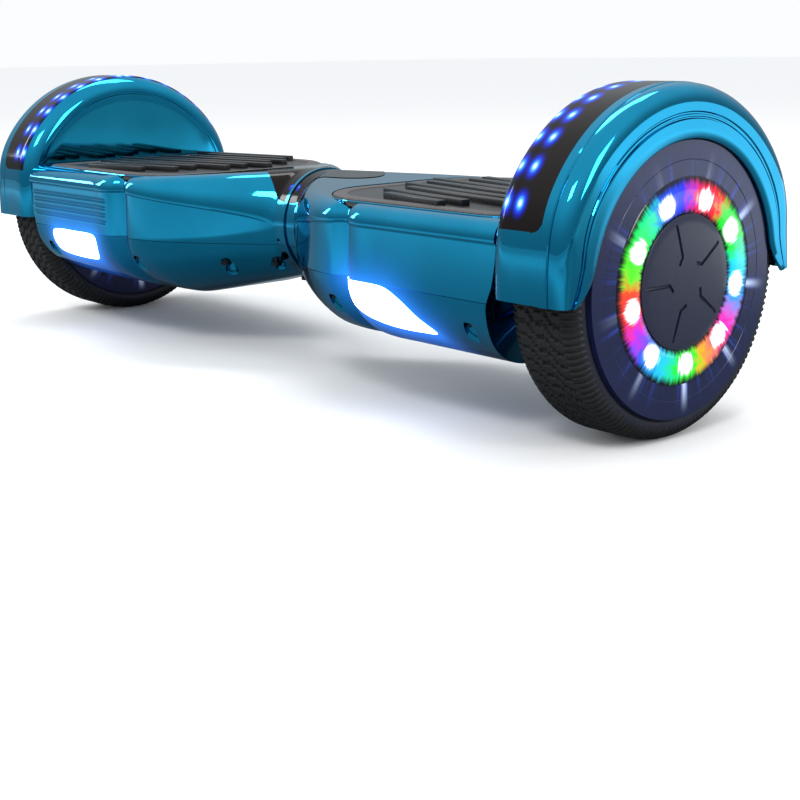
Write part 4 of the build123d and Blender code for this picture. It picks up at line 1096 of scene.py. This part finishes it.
floor_colour = add_node(floor_tree, MIX, COLOURS,
                        {0: floor_path.outputs["Is Glossy Ray"], 6: linear("#fafafa"),
                         7: floor_seen.outputs[2]})
floor_painted_light = add_node(floor_tree, MATH, TIMES,
                       {0: floor_path.outputs["Is Glossy Ray"], 1: floor_painted_window_light.outputs[0]})
floor_painted_light_power = add_node(floor_tree, MATH, TIMES, {0: floor_painted_light.outputs[0], 1: 1.4})
floor_tree.links.new(floor_colour.outputs[2], floor_shader.inputs["Base Color"])
floor_tree.links.new(floor_painted_light_power.outputs[0], floor_shader.inputs["Emission Strength"])
floor_shader.inputs["Emission Color"].default_value = linear("#e8f4ff")
floor.data.materials.append(floor_paint)

# A pale room. In reflections it is bright overhead and dimmer low down
world = bpy.data.worlds.new("pale_studio")
world.use_nodes = True
room = world.node_tree
background = room.nodes["Background"]
room_path = add_node(room, "ShaderNodeLightPath", {}, {})
room_way = add_node(room, "ShaderNodeTexCoord", {}, {})
room_parts = add_node(room, "ShaderNodeSeparateXYZ", {}, {0: room_way.outputs["Generated"]})
room_height = add_node(room, RANGE, SOFT,
                       {"Value": room_parts.outputs["Z"], "From Min": 0.0, "From Max": 0.75})
room_light = add_node(room, MIX, COLOURS,
                      {0: room_height.outputs[0], 6: linear("#93a2aa"), 7: linear("#f4f9ff")})
room_seen = add_node(room, MIX, COLOURS,
                     {0: room_path.outputs["Is Glossy Ray"], 6: linear("#fbfdff"), 7: room_light.outputs[2]})
room.links.new(room_seen.outputs[2], background.inputs["Color"])
background.inputs["Strength"].default_value = 1.0
bpy.context.scene.world = world


def softbox(name, place, target, width, height, watts):
    """A soft rectangular light that faces its target."""
    data = bpy.data.lights.new(name, "AREA")
    data.shape, data.size, data.size_y, data.energy = "RECTANGLE", width, height, watts
    lamp = bpy.data.objects.new(name, data)
    bpy.context.scene.collection.objects.link(lamp)
    lamp.location = place
    lamp.rotation_euler = (Vector(target) - Vector(place)).to_track_quat("-Z", "Y").to_euler()


softbox("key_light", (0.9, -1.5, 1.7), (0, 0, 0.08), 0.6, 0.45, 16)
softbox("top_light", (-0.4, 0.6, 2.0), (0, 0, 0.08), 1.6, 0.5, 16)
softbox("side_light", (-1.8, -0.9, 0.9), (-0.1, 0, 0.08), 0.3, 0.8, 9)
softbox("wheel_light", (2.2, 0.3, 1.1), (0.25, 0, 0.08), 0.5, 0.9, 12)

TURN, DOWN, ROLL = radians(48.97), radians(14.3), radians(-0.73)
CAMERA_PLACE = (0.71051, -0.55637, 0.19745)
back = Vector((sin(TURN) * cos(DOWN), -cos(TURN) * cos(DOWN), sin(DOWN)))
level = Vector((0, 0, 1)).cross(back).normalized()
upright = back.cross(level)
right_way = level * cos(ROLL) + upright * sin(ROLL)
up_way = upright * cos(ROLL) - level * sin(ROLL)
lens_data = bpy.data.cameras.new("camera")
lens_data.lens = 61.86
lens_data.sensor_width = 36.0
camera = bpy.data.objects.new("camera", lens_data)
facing = Matrix((right_way, up_way, back)).transposed().to_4x4()
camera.matrix_world = Matrix.Translation(CAMERA_PLACE) @ facing
bpy.context.scene.collection.objects.link(camera)
bpy.context.scene.camera = camera
